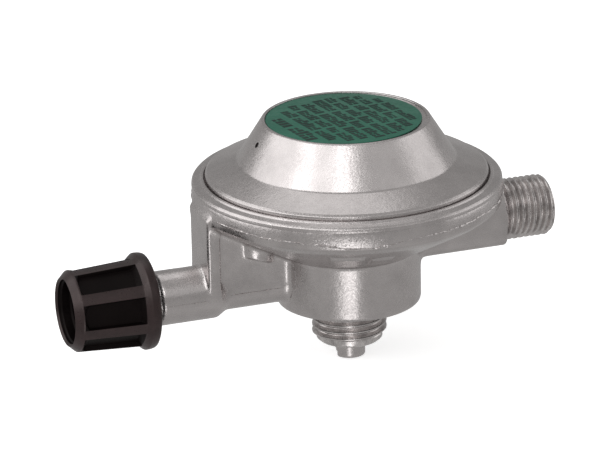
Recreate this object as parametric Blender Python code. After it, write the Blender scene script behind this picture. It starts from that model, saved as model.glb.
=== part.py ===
"""Low-pressure gas regulator for a small screw-on cylinder, as an assembly of separate solids.

The casting hangs on a vertical M16 inlet stud. The origin is on the stud's axis, in the plane of the
hub's underside, which seals on the cylinder. +Z is up through the diaphragm and the lid, +X runs along
the outlet, and the shut-off valve with its knob lies along -X.
Sizes below are in millimetres; the helpers turn them into metres.
"""

import math

import bmesh
import bpy
from mathutils import Matrix, Vector

MM = 0.001
ROUND = 40  # sides of a large turned piece
SMALL_ROUND = 20  # sides of a small turned piece
FIT = 0.1  # gap between two pieces that touch

# Casting
HUB_R = 15.45
HUB_TOP = 12.4
DISH_R, DISH_TOP = 31.2, 21.2
RIM_R = 32.9
RIM_EDGE = 27.5
LIP_R = 30.35
LIP_TOP = 28.3
LEDGE = 25.0
CHAMBER_R = 12.8
CHAMBER_FLOOR = 10.3
VALVE_AXIS = 6.1
NECK_R = 5.8
NECK_END = 43.5
DUCT_R = 4.45
COLUMN_OUT = 33.3
COLUMN_IN = 30.6
COLUMN_TOP = 23.9
OUTLET_AXIS = 14.85
OUTLET_END = 45.3
BLOCK_END = 34.0
BLOCK_HALF = 7.0
BLOCK_BOTTOM = 8.7
OUTLET_BORE_R = 3.6
CHANNEL_R = 1.25

# Threads: G 1/4 left-hand at the outlet, M16 x 1.5 at the inlet
OUTLET_THREAD_R = 6.58
OUTLET_ROOT_R = 5.75
OUTLET_PITCH = 1.337
STUD_R = 8.0
STUD_ROOT_R = 7.1
STUD_PITCH = 1.5
STUD_END = -9.05
PIN_R = 3.35
PIN_TIP = -12.9

# Pressure-reducing works
JET_AXIS = 17.5
JET_TIP = 11.2
LEVER_PIVOT = (-8.0, 0.0, 13.4)
TONGUE_HALF_HEIGHT = 0.7
STEM_R = 2.0
LID_TOP = 40.5
LABEL_R = 16.6
SCREW_R = 10.4

# Shut-off valve, as distances from the inlet axis towards -X
SEAT_FACE = 27.6
VALVE_BORE_R = 3.0
GLAND_STEP = 39.0
SPINDLE_R = 2.0
KNOB_REAR = 45.0
KNOB_LENGTH = 18.1
LOBES = 7
LAND_HALF_DEG = 6.5
FIRST_LAND_DEG = 33.6

AXES = {"+Z": 0.0, "+X": math.pi / 2, "-X": -math.pi / 2}


def clear_scene():
    """Empties the scene."""
    for obj in list(bpy.data.objects):
        bpy.data.objects.remove(obj)


def finish(name, colour, roughness, metallic):
    """A Principled material."""
    made = bpy.data.materials.new(name)
    made.use_nodes = True
    shader = made.node_tree.nodes["Principled BSDF"]
    shader.inputs["Base Color"].default_value = (*colour, 1.0)
    shader.inputs["Roughness"].default_value = roughness
    shader.inputs["Metallic"].default_value = metallic
    return made


def object_from(bm, name, material, at=(0, 0, 0), along="+Z"):
    """Closes a bmesh into an object whose local +Z runs the way named, with its origin at a point in mm."""
    bmesh.ops.recalc_face_normals(bm, faces=bm.faces)
    bmesh.ops.scale(bm, vec=(MM, MM, MM), verts=bm.verts)
    mesh = bpy.data.meshes.new(name)
    bm.to_mesh(mesh)
    bm.free()
    mesh.shade_smooth()
    mesh.set_sharp_from_angle(angle=math.radians(32))
    if material:
        mesh.materials.append(material)
    made = bpy.data.objects.new(name, mesh)
    bpy.context.scene.collection.objects.link(made)
    made.location = Vector(at) * MM
    made.rotation_euler = (0, AXES[along], 0)
    return made


def turned(name, profile, material=None, at=(0, 0, 0), along="+Z", sides=ROUND):
    """A solid of revolution about its local Z, from a closed profile of (radius, height) points."""
    bm = bmesh.new()
    points = [bm.verts.new((radius, 0, height)) for radius, height in profile]
    edges = [
        bm.edges.new((a, b))
        for a, b in zip(points, points[1:] + points[:1])
        if a.co.x > 0 or b.co.x > 0
    ]
    bmesh.ops.spin(
        bm, geom=points + edges, cent=(0, 0, 0), axis=(0, 0, 1), angle=2 * math.pi, steps=sides
    )
    bmesh.ops.remove_doubles(bm, verts=bm.verts, dist=1e-4)
    return object_from(bm, name, material, at, along)


def prism(name, outline, half_width, material=None, round_bottom=0.0):
    """An upright slab: an outline of (x, z) points, as thick as twice half_width along Y."""
    bm = bmesh.new()
    face = bm.faces.new([bm.verts.new((x, -half_width, z)) for x, z in outline])
    grown = bmesh.ops.extrude_face_region(bm, geom=[face])["geom"]
    moved = [v for v in grown if isinstance(v, bmesh.types.BMVert)]
    bmesh.ops.translate(bm, vec=(0, 2 * half_width, 0), verts=moved)
    bmesh.ops.recalc_face_normals(bm, faces=bm.faces)
    if round_bottom:
        lowest = min(v.co.z for v in bm.verts)
        edges = [
            e
            for e in bm.edges
            if all(abs(v.co.z - lowest) < 1e-6 for v in e.verts)
            and abs(e.verts[0].co.y - e.verts[1].co.y) < 1e-6
        ]
        bmesh.ops.bevel(
            bm, geom=edges, offset=round_bottom, segments=4, profile=0.5, affect="EDGES"
        )
    return object_from(bm, name, material)


def rod(name, radius, start, end, material=None, sides=SMALL_ROUND):
    """A plain round bar between two points in mm."""
    a, b = Vector(start), Vector(end)
    bm = bmesh.new()
    bmesh.ops.create_cone(
        bm, cap_ends=True, segments=sides, radius1=radius, radius2=radius, depth=(b - a).length
    )
    turn = Vector((0, 0, 1)).rotation_difference(b - a).to_matrix().to_4x4()
    turn = turn @ Matrix.Rotation(math.radians(7), 4, "Z")
    bmesh.ops.transform(bm, matrix=Matrix.Translation((a + b) / 2) @ turn, verts=bm.verts)
    return object_from(bm, name, material)


def threaded(name, root, crest, pitch, start, end, hand, material=None, tail=0.0, sides=24):
    """A bar about local Z with one helical V thread that fades out at both ends.

    A hand of 1 is a right-hand thread and -1 a left-hand one. A tail adds a plain stretch first.
    """
    steps = int(((end - start) / pitch - 1.2) * sides)
    bm = bmesh.new()

    def point(step, radius, z):
        angle = hand * 2 * math.pi * step / sides
        return bm.verts.new((radius * math.cos(angle), radius * math.sin(angle), z))

    first = start + 0.1 * pitch
    valley = [point(k, root, first + pitch * k / sides) for k in range(steps + sides + 1)]
    ridge = []
    for k in range(steps + 1):
        fade = min(1.0, 2.5 * k / sides, 2.5 * (steps - k) / sides)
        ridge.append(point(k, root + (crest - root) * fade, first + pitch * (k / sides + 0.5)))
    bottom = [point(k, root, start - tail) for k in range(sides)]
    top = [point(steps + k, root, end) for k in range(sides)]
    for k in range(steps):
        bm.faces.new((valley[k], valley[k + 1], ridge[k + 1], ridge[k]))
        bm.faces.new((ridge[k], ridge[k + 1], valley[k + 1 + sides], valley[k + sides]))
    last = sides - 1
    for k in range(last):
        bm.faces.new((bottom[k], bottom[k + 1], valley[k + 1], valley[k]))
    rim = valley[steps:]
    # Each band's step beside the helix's end is a fan of triangles.
    fans = [
        (bottom[last], [bottom[0], valley[0], ridge[0], valley[sides], valley[last]]),
        (rim[1], [top[1], top[0], rim[sides], ridge[steps], rim[0]]),
    ]
    for hub, outer in fans:
        for a, b in zip(outer, outer[1:]):
            bm.faces.new((hub, a, b))
    for k in range(1, sides):
        bm.faces.new((rim[k], rim[k + 1], top[(k + 1) % sides], top[k]))
    bm.faces.new(list(reversed(bottom)))
    bm.faces.new(top)
    bmesh.ops.triangulate(bm, faces=bm.faces)
    return object_from(bm, name, material)


def boolean(target, other, operation):
    """Joins a helper to a piece, or cuts it away, and hides the helper."""
    modifier = target.modifiers.new(other.name, "BOOLEAN")
    modifier.operation = operation
    modifier.solver = "EXACT"
    modifier.object = other
    other.hide_render = True
    other.display_type = "WIRE"


def cut(target, *others):
    """Cuts helpers away from a piece."""
    for other in others:
        boolean(target, other, "DIFFERENCE")


def join(target, *others):
    """Joins helpers to a piece."""
    for other in others:
        boolean(target, other, "UNION")


def casting(metal):
    """The die-cast body: hub, dish and rim, the valve arm on the left and the outlet on the right."""
    body = turned(
        "body",
        [
            (0, 0),
            (HUB_R - 0.5, 0),
            (HUB_R, 0.5),
            (HUB_R, HUB_TOP),
            (DISH_R, DISH_TOP),
            (32.3, 21.9),
            (RIM_R, 22.8),
            (RIM_R, RIM_EDGE),
            (RIM_R - 0.4, RIM_EDGE + 0.3),
            (LIP_R, LIP_TOP),
            (0, LIP_TOP),
        ],
        metal,
    )
    join(body, *valve_arm(), *outlet_arm(), *marking_pads())
    cut(body, chamber())
    join(body, *chamber_fittings())
    cut(body, *passages())
    return body


def valve_arm():
    """Web, gas duct, neck and end column on the -X side, and the casing round the jet's socket."""
    web = prism(
        "web",
        [(-31.5, VALVE_AXIS), (-8, VALVE_AXIS), (-8, 20), (-24, 23.4), (-31.5, 23.4)],
        DUCT_R - 0.1,
    )
    duct = turned(
        "duct",
        [
            (0, 8),
            (DUCT_R, 8),
            (DUCT_R, 28.4),
            (NECK_R, 30.7),
            (NECK_R, NECK_END - 0.7),
            (NECK_R - 0.7, NECK_END),
            (0, NECK_END),
        ],
        at=(0, 0, VALVE_AXIS),
        along="-X",
        sides=36,
    )
    column = prism(
        "column",
        [
            (-COLUMN_OUT, VALVE_AXIS - 1),
            (-COLUMN_IN, VALVE_AXIS - 1),
            (-COLUMN_IN, 24.5),
            (-32.4, 24.5),
            (-COLUMN_OUT, COLUMN_TOP),
        ],
        NECK_R - 0.12,
    )
    casing = rod("jet_casing", 5.2, (-22.2, 0, 13.7), (-22.2, 0, 20.0))
    return web, duct, column, casing


def outlet_arm():
    """The outlet block under the rim on the +X side and its left-hand threaded end."""
    block = prism(
        "block",
        [(8, BLOCK_BOTTOM), (BLOCK_END + 0.2, BLOCK_BOTTOM), (BLOCK_END - 0.6, 24.6), (8, 24.6)],
        BLOCK_HALF,
        round_bottom=2.4,
    )
    thread = threaded(
        "outlet_thread",
        OUTLET_ROOT_R,
        OUTLET_THREAD_R,
        OUTLET_PITCH,
        BLOCK_END + 0.3,
        OUTLET_END,
        hand=-1,
        tail=3.0,
    )
    thread.rotation_euler = (0, AXES["+X"], 0)
    thread.location = Vector((0, 0, OUTLET_AXIS)) * MM
    return block, thread


def marking_pads():
    """Raised rectangular pads on the underside of the dish."""
    pads = []
    for name, near, far, half, degrees in (
        ("pad_wide", 19.5, 28.5, 3.55, 249.6),
        ("pad_small", 20.5, 25.5, 2.2, 266.0),
    ):
        low, high = dish_height(near), dish_height(far)
        outline = [(near, low - 0.6), (far, high - 0.6), (far, high + 0.6), (near, low + 0.6)]
        pad = prism(name, outline, half)
        pad.rotation_euler = (0, 0, math.radians(degrees))
        pads.append(pad)
    return pads


def dish_height(radius):
    """Height of the dish's outer cone at a radius."""
    return HUB_TOP + (radius - HUB_R) * (DISH_TOP - HUB_TOP) / (DISH_R - HUB_R)


def chamber():
    """The space under the diaphragm, with the ledge that clamps its edge and the groove under the lip."""
    return turned(
        "chamber",
        [
            (0, CHAMBER_FLOOR),
            (CHAMBER_R, CHAMBER_FLOOR),
            (CHAMBER_R, 13.6),
            (26.0, 21.8),
            (26.0, LEDGE),
            (31.1, LEDGE),
            (31.1, 27.3),
            (LIP_R, 27.6),
            (LIP_R, 30),
            (0, 30),
        ],
    )


def chamber_fittings():
    """What is cast inside the chamber: the boss that holds the jet, and two lugs for the lever's pin."""
    boss = rod("jet_boss", 4.0, (-23, 0, JET_AXIS), (-14, 0, JET_AXIS))
    x, _, z = LEVER_PIVOT
    lugs = []
    for side, y in (("front", -4.0), ("back", 4.0)):
        lug = prism(
            f"lug_{side}", [(x - 1.6, 9.5), (x + 1.6, 9.5), (x + 1.6, z + 1.6), (x - 1.6, z + 1.6)], 0.9
        )
        lug.location = Vector((0, y, 0)) * MM
        lugs.append(lug)
    return boss, *lugs


def passages():
    """Everything drilled: inlet socket, gas ways, valve bore, jet socket, outlet and the pin's holes."""
    inlet = turned(
        "inlet_socket",
        [
            (0, -1),
            (11.2, -1),
            (11.2, 1.2),
            (7.0 + FIT, 1.2),
            (7.0 + FIT, 4.3),
            (5.0, 4.3),
            (5.0, 7.9),
            (0, 7.9),
        ],
    )
    feed = rod("feed_way", CHANNEL_R, (-3, 0, VALVE_AXIS), (-SEAT_FACE - 1, 0, VALVE_AXIS))
    bore = turned(
        "valve_bore",
        [
            (0, SEAT_FACE),
            (VALVE_BORE_R, SEAT_FACE),
            (VALVE_BORE_R, GLAND_STEP),
            (4.05, GLAND_STEP),
            (4.05, NECK_END + 1),
            (0, NECK_END + 1),
        ],
        at=(0, 0, VALVE_AXIS),
        along="-X",
        sides=SMALL_ROUND,
    )
    riser = rod("riser", CHANNEL_R, (-29.6, 0, VALVE_AXIS + 1), (-29.6, 0, JET_AXIS + CHANNEL_R))
    cross = rod("cross_way", CHANNEL_R - 0.05, (-29.6, 0, JET_AXIS), (-21, 0, JET_AXIS))
    socket = rod("jet_socket", 2.6, (-22, 0, JET_AXIS), (-13, 0, JET_AXIS))
    outlet = turned(
        "outlet_bore",
        [
            (0, 11),
            (OUTLET_BORE_R, 11),
            (OUTLET_BORE_R, OUTLET_END - 2.2),
            (OUTLET_BORE_R + 1.5, OUTLET_END + 0.4),
            (0, OUTLET_END + 0.4),
        ],
        at=(0, 0, OUTLET_AXIS),
        along="+X",
        sides=SMALL_ROUND,
    )
    x, _, z = LEVER_PIVOT
    pin_hole = rod("pin_hole", 0.75 + FIT, (x, -6, z), (x, 6, z), sides=16)
    return bore, feed, riser, cross, socket, outlet, pin_hole, inlet


def lid(metal):
    """The bonnet: a steep cone on a shallow flange, with a threaded well for the adjusting screw."""
    made = turned(
        "lid",
        [
            (LABEL_R + 0.3, LID_TOP - 0.45),
            (LABEL_R + 0.5, LID_TOP),
            (17.6, LID_TOP),
            (18.2, 39.9),
            (23.2, 31.7),
            (29.3, 29.4),
            (29.8, 29.0),
            (29.8, 27.2),
            (30.8, 26.9),
            (30.8, 26.1),
            (24.6, 26.1),
            (24.6, 28.6),
            (21.6, 29.9),
            (16.4, 38.2),
            (13.0, 38.2),
            (13.0, 35.6),
            (SCREW_R + FIT, 35.6),
            (SCREW_R + FIT, LID_TOP - 0.45),
        ],
        metal,
    )
    angle = math.radians(180)
    outward = Vector((math.cos(angle), math.sin(angle), 0.6))
    middle = Vector((19.6 * math.cos(angle), 19.6 * math.sin(angle), 36.8))
    cut(made, rod("vent", 0.6, middle - 3 * outward, middle + 3 * outward, sides=12))
    return made


def label(paint):
    """The round rating plate in the lid's shallow recess."""
    return turned(
        "label",
        [(0, LID_TOP - 0.35), (LABEL_R, LID_TOP - 0.35), (LABEL_R, LID_TOP - 0.15), (0, LID_TOP - 0.15)],
        paint,
    )


def adjusting_screw(brass):
    """The slotted disc that sets the spring."""
    made = turned(
        "adjusting_screw",
        [(0, 36.6), (7.6, 36.6), (7.6, 36.1), (SCREW_R, 36.1), (SCREW_R, 39.7), (0, 39.7)],
        brass,
        sides=36,
    )
    cut(made, prism("driver_slot", [(-7, 38.4), (7, 38.4), (7, 41), (-7, 41)], 1.0))
    return made


def main_spring(steel):
    """The set spring: a helix with closed ends between the diaphragm plate and the adjusting screw."""
    wire, mean, low, high, turns = 0.65, 8.6, 27.9, 35.3, 5.0
    per_turn, sides = 12, 6
    steps = round(turns * per_turn)
    bm = bmesh.new()
    loops = []
    for step in range(steps + 1):
        angle = 2 * math.pi * step / per_turn
        share = step / steps
        lead = min(1.0, max(0.0, (share * turns - 0.75) / (turns - 1.5)))
        z = low + (high - low) * (0.17 * share + 0.83 * lead) 
        outward = Vector((math.cos(angle), math.sin(angle), 0))
        centre = mean * outward + Vector((0, 0, z))
        loop = []
        for side in range(sides):
            around = 2 * math.pi * side / sides
            loop.append(
                bm.verts.new(centre + wire * (math.cos(around) * outward + Vector((0, 0, math.sin(around)))))
            )
        loops.append(loop)
    for low_loop, high_loop in zip(loops, loops[1:]):
        for side in range(sides):
            after = (side + 1) % sides
            bm.faces.new((low_loop[side], low_loop[after], high_loop[after], high_loop[side]))
    bm.faces.new(list(reversed(loops[0])))
    bm.faces.new(loops[-1])
    return object_from(bm, "main_spring", steel)


def diaphragm(rubber):
    """A moulded rubber disc with one rolling convolution, clamped between ledge and lid."""
    thick, mid = 0.8, LEDGE + 0.5
    inner, outer, rise = 17.4, 23.6, 1.9
    wave = [
        (inner + (outer - inner) * k / 6, mid + rise * math.sin(math.pi * k / 6) ** 2)
        for k in range(7)
    ]
    line = [(STEM_R + FIT, mid), *wave, (30.8, mid)]
    lower = [(r, z - thick / 2) for r, z in line]
    upper = [(r, z + thick / 2) for r, z in reversed(line)]
    return turned("diaphragm", lower + upper, rubber, sides=28)


def diaphragm_stack(steel, zinc):
    """What the diaphragm carries: plate, support washer, stem with the lever's eye, and nut."""
    hole = STEM_R + FIT
    plate = turned(
        "diaphragm_plate",
        [
            (hole, 26.05),
            (16.0, 26.05),
            (16.9, 26.9),
            (16.9, 28.6),
            (16.1, 28.6),
            (16.1, 27.2),
            (15.6, 26.95),
            (hole, 26.95),
        ],
        steel,
        sides=32,
    )
    washer = turned(
        "support_washer",
        [(hole, 24.2), (6.6, 24.2), (7.0, 24.6), (7.0, 24.98), (hole, 24.98)],
        steel,
        sides=SMALL_ROUND,
    )
    stem = turned(
        "diaphragm_stem",
        [
            (0, 11.3),
            (STEM_R - 0.3, 11.3),
            (STEM_R, 11.6),
            (STEM_R, 23.2),
            (3.0, 23.2),
            (3.0, 24.1),
            (STEM_R, 24.1),
            (STEM_R, 29.2),
            (STEM_R - 0.3, 29.5),
            (0, 29.5),
        ],
        zinc,
        sides=20,
    )
    z = LEVER_PIVOT[2]
    eye = prism("eye", [(-4, z - 1.25), (4, z - 1.25), (4, z + 1.25), (-4, z + 1.25)], 1.35)
    cut(stem, eye)
    nut = turned(
        "stem_nut",
        [(0, 27.05), (3.9, 27.05), (3.9, 28.9), (0, 28.9)],
        steel,
        sides=6,
    )
    cut(nut, rod("nut_hole", hole, (0, 0, 26), (0, 0, 30)))
    return plate, washer, stem, nut


def lever(steel, rubber):
    """The angled lever: an upright arm that carries the seat disc, and a tongue in the stem's eye."""
    x, _, z = LEVER_PIVOT
    arm = prism(
        "lever",
        [(-1.1, -0.7), (1.1, -0.7), (1.1, 5.6), (0.6, 6.1), (-0.6, 6.1), (-1.1, 5.6)],
        2.6,
        steel,
    )
    arm.location = Vector(LEVER_PIVOT) * MM
    half = TONGUE_HALF_HEIGHT
    tongue = prism("tongue", [(0, -half), (9.2, -half), (9.6, 0), (9.2, half), (0, half)], 1.05)
    tongue.location = arm.location
    join(arm, tongue)
    bore = rod("lever_bore", 0.75 + FIT, (x, -4, z), (x, 4, z), sides=16)
    recess = rod("disc_recess", 1.9 + FIT, (x - 2, 0, JET_AXIS), (x - 0.7, 0, JET_AXIS), sides=20)
    cut(arm, bore, recess)
    disc = rod("seat_disc", 1.9, (x - 2.4, 0, JET_AXIS), (x - 0.8, 0, JET_AXIS), rubber, sides=20)
    return arm, disc


def lever_pin(steel):
    """The pivot pin in the casting's lugs."""
    x, _, z = LEVER_PIVOT
    return rod("lever_pin", 0.75, (x, -4.9, z), (x, 4.9, z), steel, sides=16)


def inlet_jet(brass):
    """The screwed-in jet whose tip the seat disc closes."""
    return turned(
        "inlet_jet",
        [
            (0.6, JET_TIP),
            (1.0, JET_TIP),
            (1.5, 12.6),
            (3.3, 12.6),
            (3.3, 13.85),
            (2.5, 13.85),
            (2.5, 20.8),
            (1.0, 20.8),
            (1.0, 14.5),
            (0.6, 13.8),
        ],
        brass,
        at=(0, 0, JET_AXIS),
        along="-X",
        sides=16,
    )


def inlet(steel, zinc, rubber, mesh_metal):
    """Inlet stud, thrust pin, seal ring and strainer."""
    stud = threaded(
        "inlet_stud", STUD_ROOT_R, STUD_R, STUD_PITCH, STUD_END, -0.1, hand=1, material=steel
    )
    shank = rod("stud_shank", 7.0, (0, 0, -1), (0, 0, 4.2), sides=36)
    join(stud, shank)
    gas_way = rod("stud_bore", 1.6, (0, 0, -10), (0, 0, 5))
    pin_seat = rod("pin_seat", 2.4 + FIT, (0, 0, -10), (0, 0, -4.5))
    cut(stud, gas_way, pin_seat)
    pin = turned(
        "thrust_pin",
        [
            (1.1, PIN_TIP),
            (PIN_R - 0.3, PIN_TIP),
            (PIN_R, PIN_TIP + 0.3),
            (PIN_R, STUD_END - FIT),
            (2.4, STUD_END - FIT),
            (2.4, -4.7),
            (1.1, -4.7),
        ],
        zinc,
        sides=SMALL_ROUND,
    )
    notch = prism("gas_notch", [(-4.5, -15), (-0.2, -15), (-0.2, -11.3), (-4.5, -11.3)], 0.9)
    notch.rotation_euler = (0, 0, math.radians(-20))
    cut(pin, notch)
    seal = turned(
        "inlet_seal", [(8.25, -0.3), (11.0, -0.3), (11.0, 1.1), (8.25, 1.1)], rubber, sides=36
    )
    strainer = rod("strainer", 4.8, (0, 0, 4.4), (0, 0, 4.75), mesh_metal)
    holes = [rod("strainer_hole_0", 0.6, (0, 0, 4), (0, 0, 5), sides=8)]
    for k in range(6):
        angle = math.radians(60 * k)
        x, y = 2.8 * math.cos(angle), 2.8 * math.sin(angle)
        holes.append(rod(f"strainer_hole_{k + 1}", 0.6, (x, y, 4), (x, y, 5), sides=8))
    cut(strainer, *holes)
    return stud, pin, seal, strainer


def gland(brass, rubber):
    """The gland bush in the neck's mouth with its O-ring, and the ring that seals it in the neck."""
    at, along = (0, 0, VALVE_AXIS), "-X"
    nut = turned(
        "gland_nut",
        [
            (SPINDLE_R + FIT, GLAND_STEP + 0.75),
            (3.95, GLAND_STEP + 0.75),
            (3.95, NECK_END - 0.1),
            (3.6, NECK_END + 0.2),
            (SPINDLE_R + FIT, NECK_END + 0.2),
            (SPINDLE_R + FIT, 42.4),
            (3.0, 42.4),
            (3.0, 41.3),
            (SPINDLE_R + FIT, 41.3),
        ],
        brass,
        at,
        along,
        18,
    )
    ring = o_ring("spindle_o_ring", 2.52, 0.4, 41.85, rubber)
    washer = turned(
        "gland_seal",
        [(3.1, GLAND_STEP + 0.1), (3.9, GLAND_STEP + 0.1), (3.9, GLAND_STEP + 0.65), (3.1, GLAND_STEP + 0.65)],
        rubber,
        at,
        along,
        18,
    )
    return nut, ring, washer


def o_ring(name, radius, wire, place, rubber):
    """A ring of round section about the valve's axis."""
    section = [
        (radius + wire * math.cos(math.radians(60 * k)), place + wire * math.sin(math.radians(60 * k)))
        for k in range(6)
    ]
    return turned(name, section, rubber, (0, 0, VALVE_AXIS), "-X", 18)


def closing_pad(brass, rubber):
    """The pad that closes the seat, in a cup that swivels on the spindle's tip."""
    at, along = (0, 0, VALVE_AXIS), "-X"
    holder = turned(
        "pad_holder",
        [
            (0, 29.25),
            (2.0, 29.25),
            (2.0, 28.2),
            (2.6, 28.2),
            (2.6, 32.0),
            (1.15, 32.0),
            (1.15, 30.2),
            (0, 30.2),
        ],
        brass,
        at,
        along,
        20,
    )
    pad = turned(
        "valve_pad",
        [(0, 27.75), (1.6, 27.75), (1.9, 28.0), (1.9, 29.15), (0, 29.15)],
        rubber,
        at,
        along,
        20,
    )
    return holder, pad


def spindle(steel):
    """The valve spindle: tip, threaded shoulder in the valve bore, and the stem that the knob sits on."""
    end = KNOB_REAR + 9.4
    made = turned(
        "valve_spindle",
        [
            (0, 30.4),
            (1.0, 30.4),
            (1.0, 32.2),
            (2.5, 32.2),
            (2.85, 32.6),
            (2.85, 36.6),
            (2.5, 37.0),
            (SPINDLE_R, 37.0),
            (SPINDLE_R, end),
            (1.15, end),
            (1.15, end - 6.2),
            (0, end - 6.2),
        ],
        steel,
        (0, 0, VALVE_AXIS),
        "-X",
        18,
    )
    return made


def knob_ring(land, valley):
    """The knob's outline at one station: seven flat lands, with a shallow V between each two."""
    pitch = 360 / LOBES
    points = []
    for lobe in range(LOBES):
        middle = lobe * pitch
        edges = [middle + LAND_HALF_DEG, middle + pitch / 2, middle + pitch - LAND_HALF_DEG]
        radii = [land, valley, land]
        corners = [
            Vector((r * math.cos(math.radians(a)), r * math.sin(math.radians(a))))
            for r, a in zip(radii, edges)
        ]
        between = [(corners[0] + corners[1]) / 2, (corners[1] + corners[2]) / 2]
        if abs(land - valley) < 1e-6:
            between = [land * v.normalized() for v in between]
        points += [corners[0], between[0], corners[1], between[1], corners[2]]
    return points


def knob(plastic):
    """The shut-off valve's handwheel: a fluted shell, open in front, with a hub and ribs inside."""
    stations = [
        (0.0, 9.9, 9.9),
        (0.4, 10.3, 10.3),
        (2.0, 10.3, 10.3),
        (2.5, 9.8, 9.8),
        (2.9, 9.5, 9.5),
        (4.3, 9.42, 7.95),
        (15.4, 8.85, 7.6),
        (16.3, 8.75, 8.75),
        (16.6, 8.7, 8.7),
        (KNOB_LENGTH, 7.3, 7.3),
    ]
    bm = bmesh.new()
    loops = [
        [bm.verts.new((p.x, p.y, height)) for p in knob_ring(land, valley)]
        for height, land, valley in stations
    ]
    count = len(loops[0])
    for low, high in zip(loops, loops[1:]):
        for k in range(count):
            after = (k + 1) % count
            bm.faces.new((low[k], low[after], high[after], high[k]))
    bm.faces.new(list(reversed(loops[0])))
    bm.faces.new(loops[-1])
    bmesh.ops.triangulate(bm, faces=bm.faces)
    # A land's middle is at FIRST_LAND_DEG above -Y; local X points up after the turn to -X.
    bmesh.ops.rotate(
        bm,
        verts=bm.verts,
        cent=(0, 0, 0),
        matrix=Matrix.Rotation(math.radians(FIRST_LAND_DEG - 90), 3, "Z"),
    )
    made = object_from(bm, "knob", plastic, (-KNOB_REAR, 0, VALVE_AXIS), "-X")
    hollow = turned(
        "knob_hollow",
        [
            (3.7, 4.5),
            (5.9, 4.5),
            (6.05, 14.6),
            (6.45, 14.8),
            (6.45, 16.6),
            (6.8, 16.8),
            (6.8, KNOB_LENGTH + 1),
            (0, KNOB_LENGTH + 1),
            (0, 12.6),
            (3.5, 12.6),
        ],
        at=(-KNOB_REAR, 0, VALVE_AXIS),
        along="-X",
        sides=35,
    )
    bore = turned(
        "knob_bore",
        [
            (0, -1),
            (SPINDLE_R + FIT, -1),
            (SPINDLE_R + FIT, 9.5),
            (1.25, 9.5),
            (1.25, 10.4),
            (2.7, 10.4),
            (2.7, 13.5),
            (0, 13.5),
        ],
        at=(-KNOB_REAR, 0, VALVE_AXIS),
        along="-X",
        sides=24,
    )
    cut(made, hollow, bore)
    return made


def knob_screw(steel):
    """The pan-head screw that holds the knob on the spindle, with a cross recess."""
    at = (-KNOB_REAR, 0, VALVE_AXIS)
    made = turned(
        "knob_screw",
        [
            (0, 4.0),
            (1.05, 4.0),
            (1.05, 10.5),
            (2.5, 10.5),
            (2.5, 11.5),
            (2.0, 12.1),
            (0, 12.3),
        ],
        steel,
        at,
        "-X",
        24,
    )
    for number, turn in enumerate((0, math.pi / 2)):
        slot = prism(f"recess_{number}", [(-63, -1.3), (-56.3, -1.3), (-56.3, 1.3), (-63, 1.3)], 0.3)
        slot.rotation_euler = (turn, 0, 0)
        slot.location = Vector((0, 0, VALVE_AXIS)) * MM
        cut(made, slot)
    return made


def main():
    """Builds every piece."""
    clear_scene()
    zinc = finish("cast_zinc", (0.60, 0.58, 0.57), 0.38, 1.0)
    steel = finish("plated_steel", (0.62, 0.62, 0.63), 0.30, 1.0)
    dark_steel = finish("thread_steel", (0.36, 0.35, 0.34), 0.42, 1.0)
    brass = finish("brass", (0.72, 0.56, 0.30), 0.32, 1.0)
    rubber = finish("black_rubber", (0.03, 0.03, 0.03), 0.75, 0.0)
    plastic = finish("black_plastic", (0.02, 0.017, 0.018), 0.32, 0.0)
    green = finish("green_label", (0.05, 0.22, 0.15), 0.45, 0.0)

    casting(zinc)
    lid(zinc)
    label(green)
    adjusting_screw(brass)
    main_spring(steel)
    diaphragm(rubber)
    diaphragm_stack(steel, zinc)
    lever(steel, rubber)
    lever_pin(steel)
    inlet_jet(brass)
    inlet(dark_steel, zinc, rubber, steel)
    gland(brass, rubber)
    closing_pad(brass, rubber)
    spindle(steel)
    knob(plastic)
    knob_screw(steel)


main()
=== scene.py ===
"""Looks of the low-pressure gas regulator: its casting, bonnet, threads, handwheel and rating plate.

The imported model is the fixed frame. Sizes here are in millimetres; the builders turn them into metres.
"""

import logging
import math
from dataclasses import dataclass, field
from enum import Enum

import bmesh
import bpy
import numpy as np
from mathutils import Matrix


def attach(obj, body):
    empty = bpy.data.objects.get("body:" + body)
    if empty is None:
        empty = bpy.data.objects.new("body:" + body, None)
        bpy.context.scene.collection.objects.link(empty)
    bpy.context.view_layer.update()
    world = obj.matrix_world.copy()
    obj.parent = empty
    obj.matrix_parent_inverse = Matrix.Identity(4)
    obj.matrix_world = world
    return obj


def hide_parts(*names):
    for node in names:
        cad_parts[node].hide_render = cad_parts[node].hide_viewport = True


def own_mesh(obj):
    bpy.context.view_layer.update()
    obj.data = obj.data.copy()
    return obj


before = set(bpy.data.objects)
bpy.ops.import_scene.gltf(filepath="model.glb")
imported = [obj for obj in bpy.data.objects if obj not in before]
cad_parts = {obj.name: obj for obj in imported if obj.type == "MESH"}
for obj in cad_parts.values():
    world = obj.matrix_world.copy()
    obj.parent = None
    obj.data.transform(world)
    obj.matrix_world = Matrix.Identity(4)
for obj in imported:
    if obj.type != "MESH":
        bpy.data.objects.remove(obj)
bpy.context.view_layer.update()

import openvdb
from mathutils import Matrix, Vector

MM = 0.001
HOUSING = "housing"
HANDWHEEL = "handwheel"
VALVE_AXIS = 6.1
OUTLET_AXIS = 14.85
JET_AXIS = 17.5
# Points closer than this are one point, and edges shorter than this are none, in metres.
SAME_PLACE = 2e-7
NO_LENGTH = 1e-7
# Both, for a mesh that is still in millimetres.
SAME_PLACE_MM = 1e-4

log = logging.getLogger("regulator")

Point = tuple[float, float]
Corner = tuple[float, float, float]
Shade = tuple[float, float, float]


class Hand(Enum):
    """Which way a thread winds."""

    RIGHT = 1
    LEFT = -1


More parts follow.
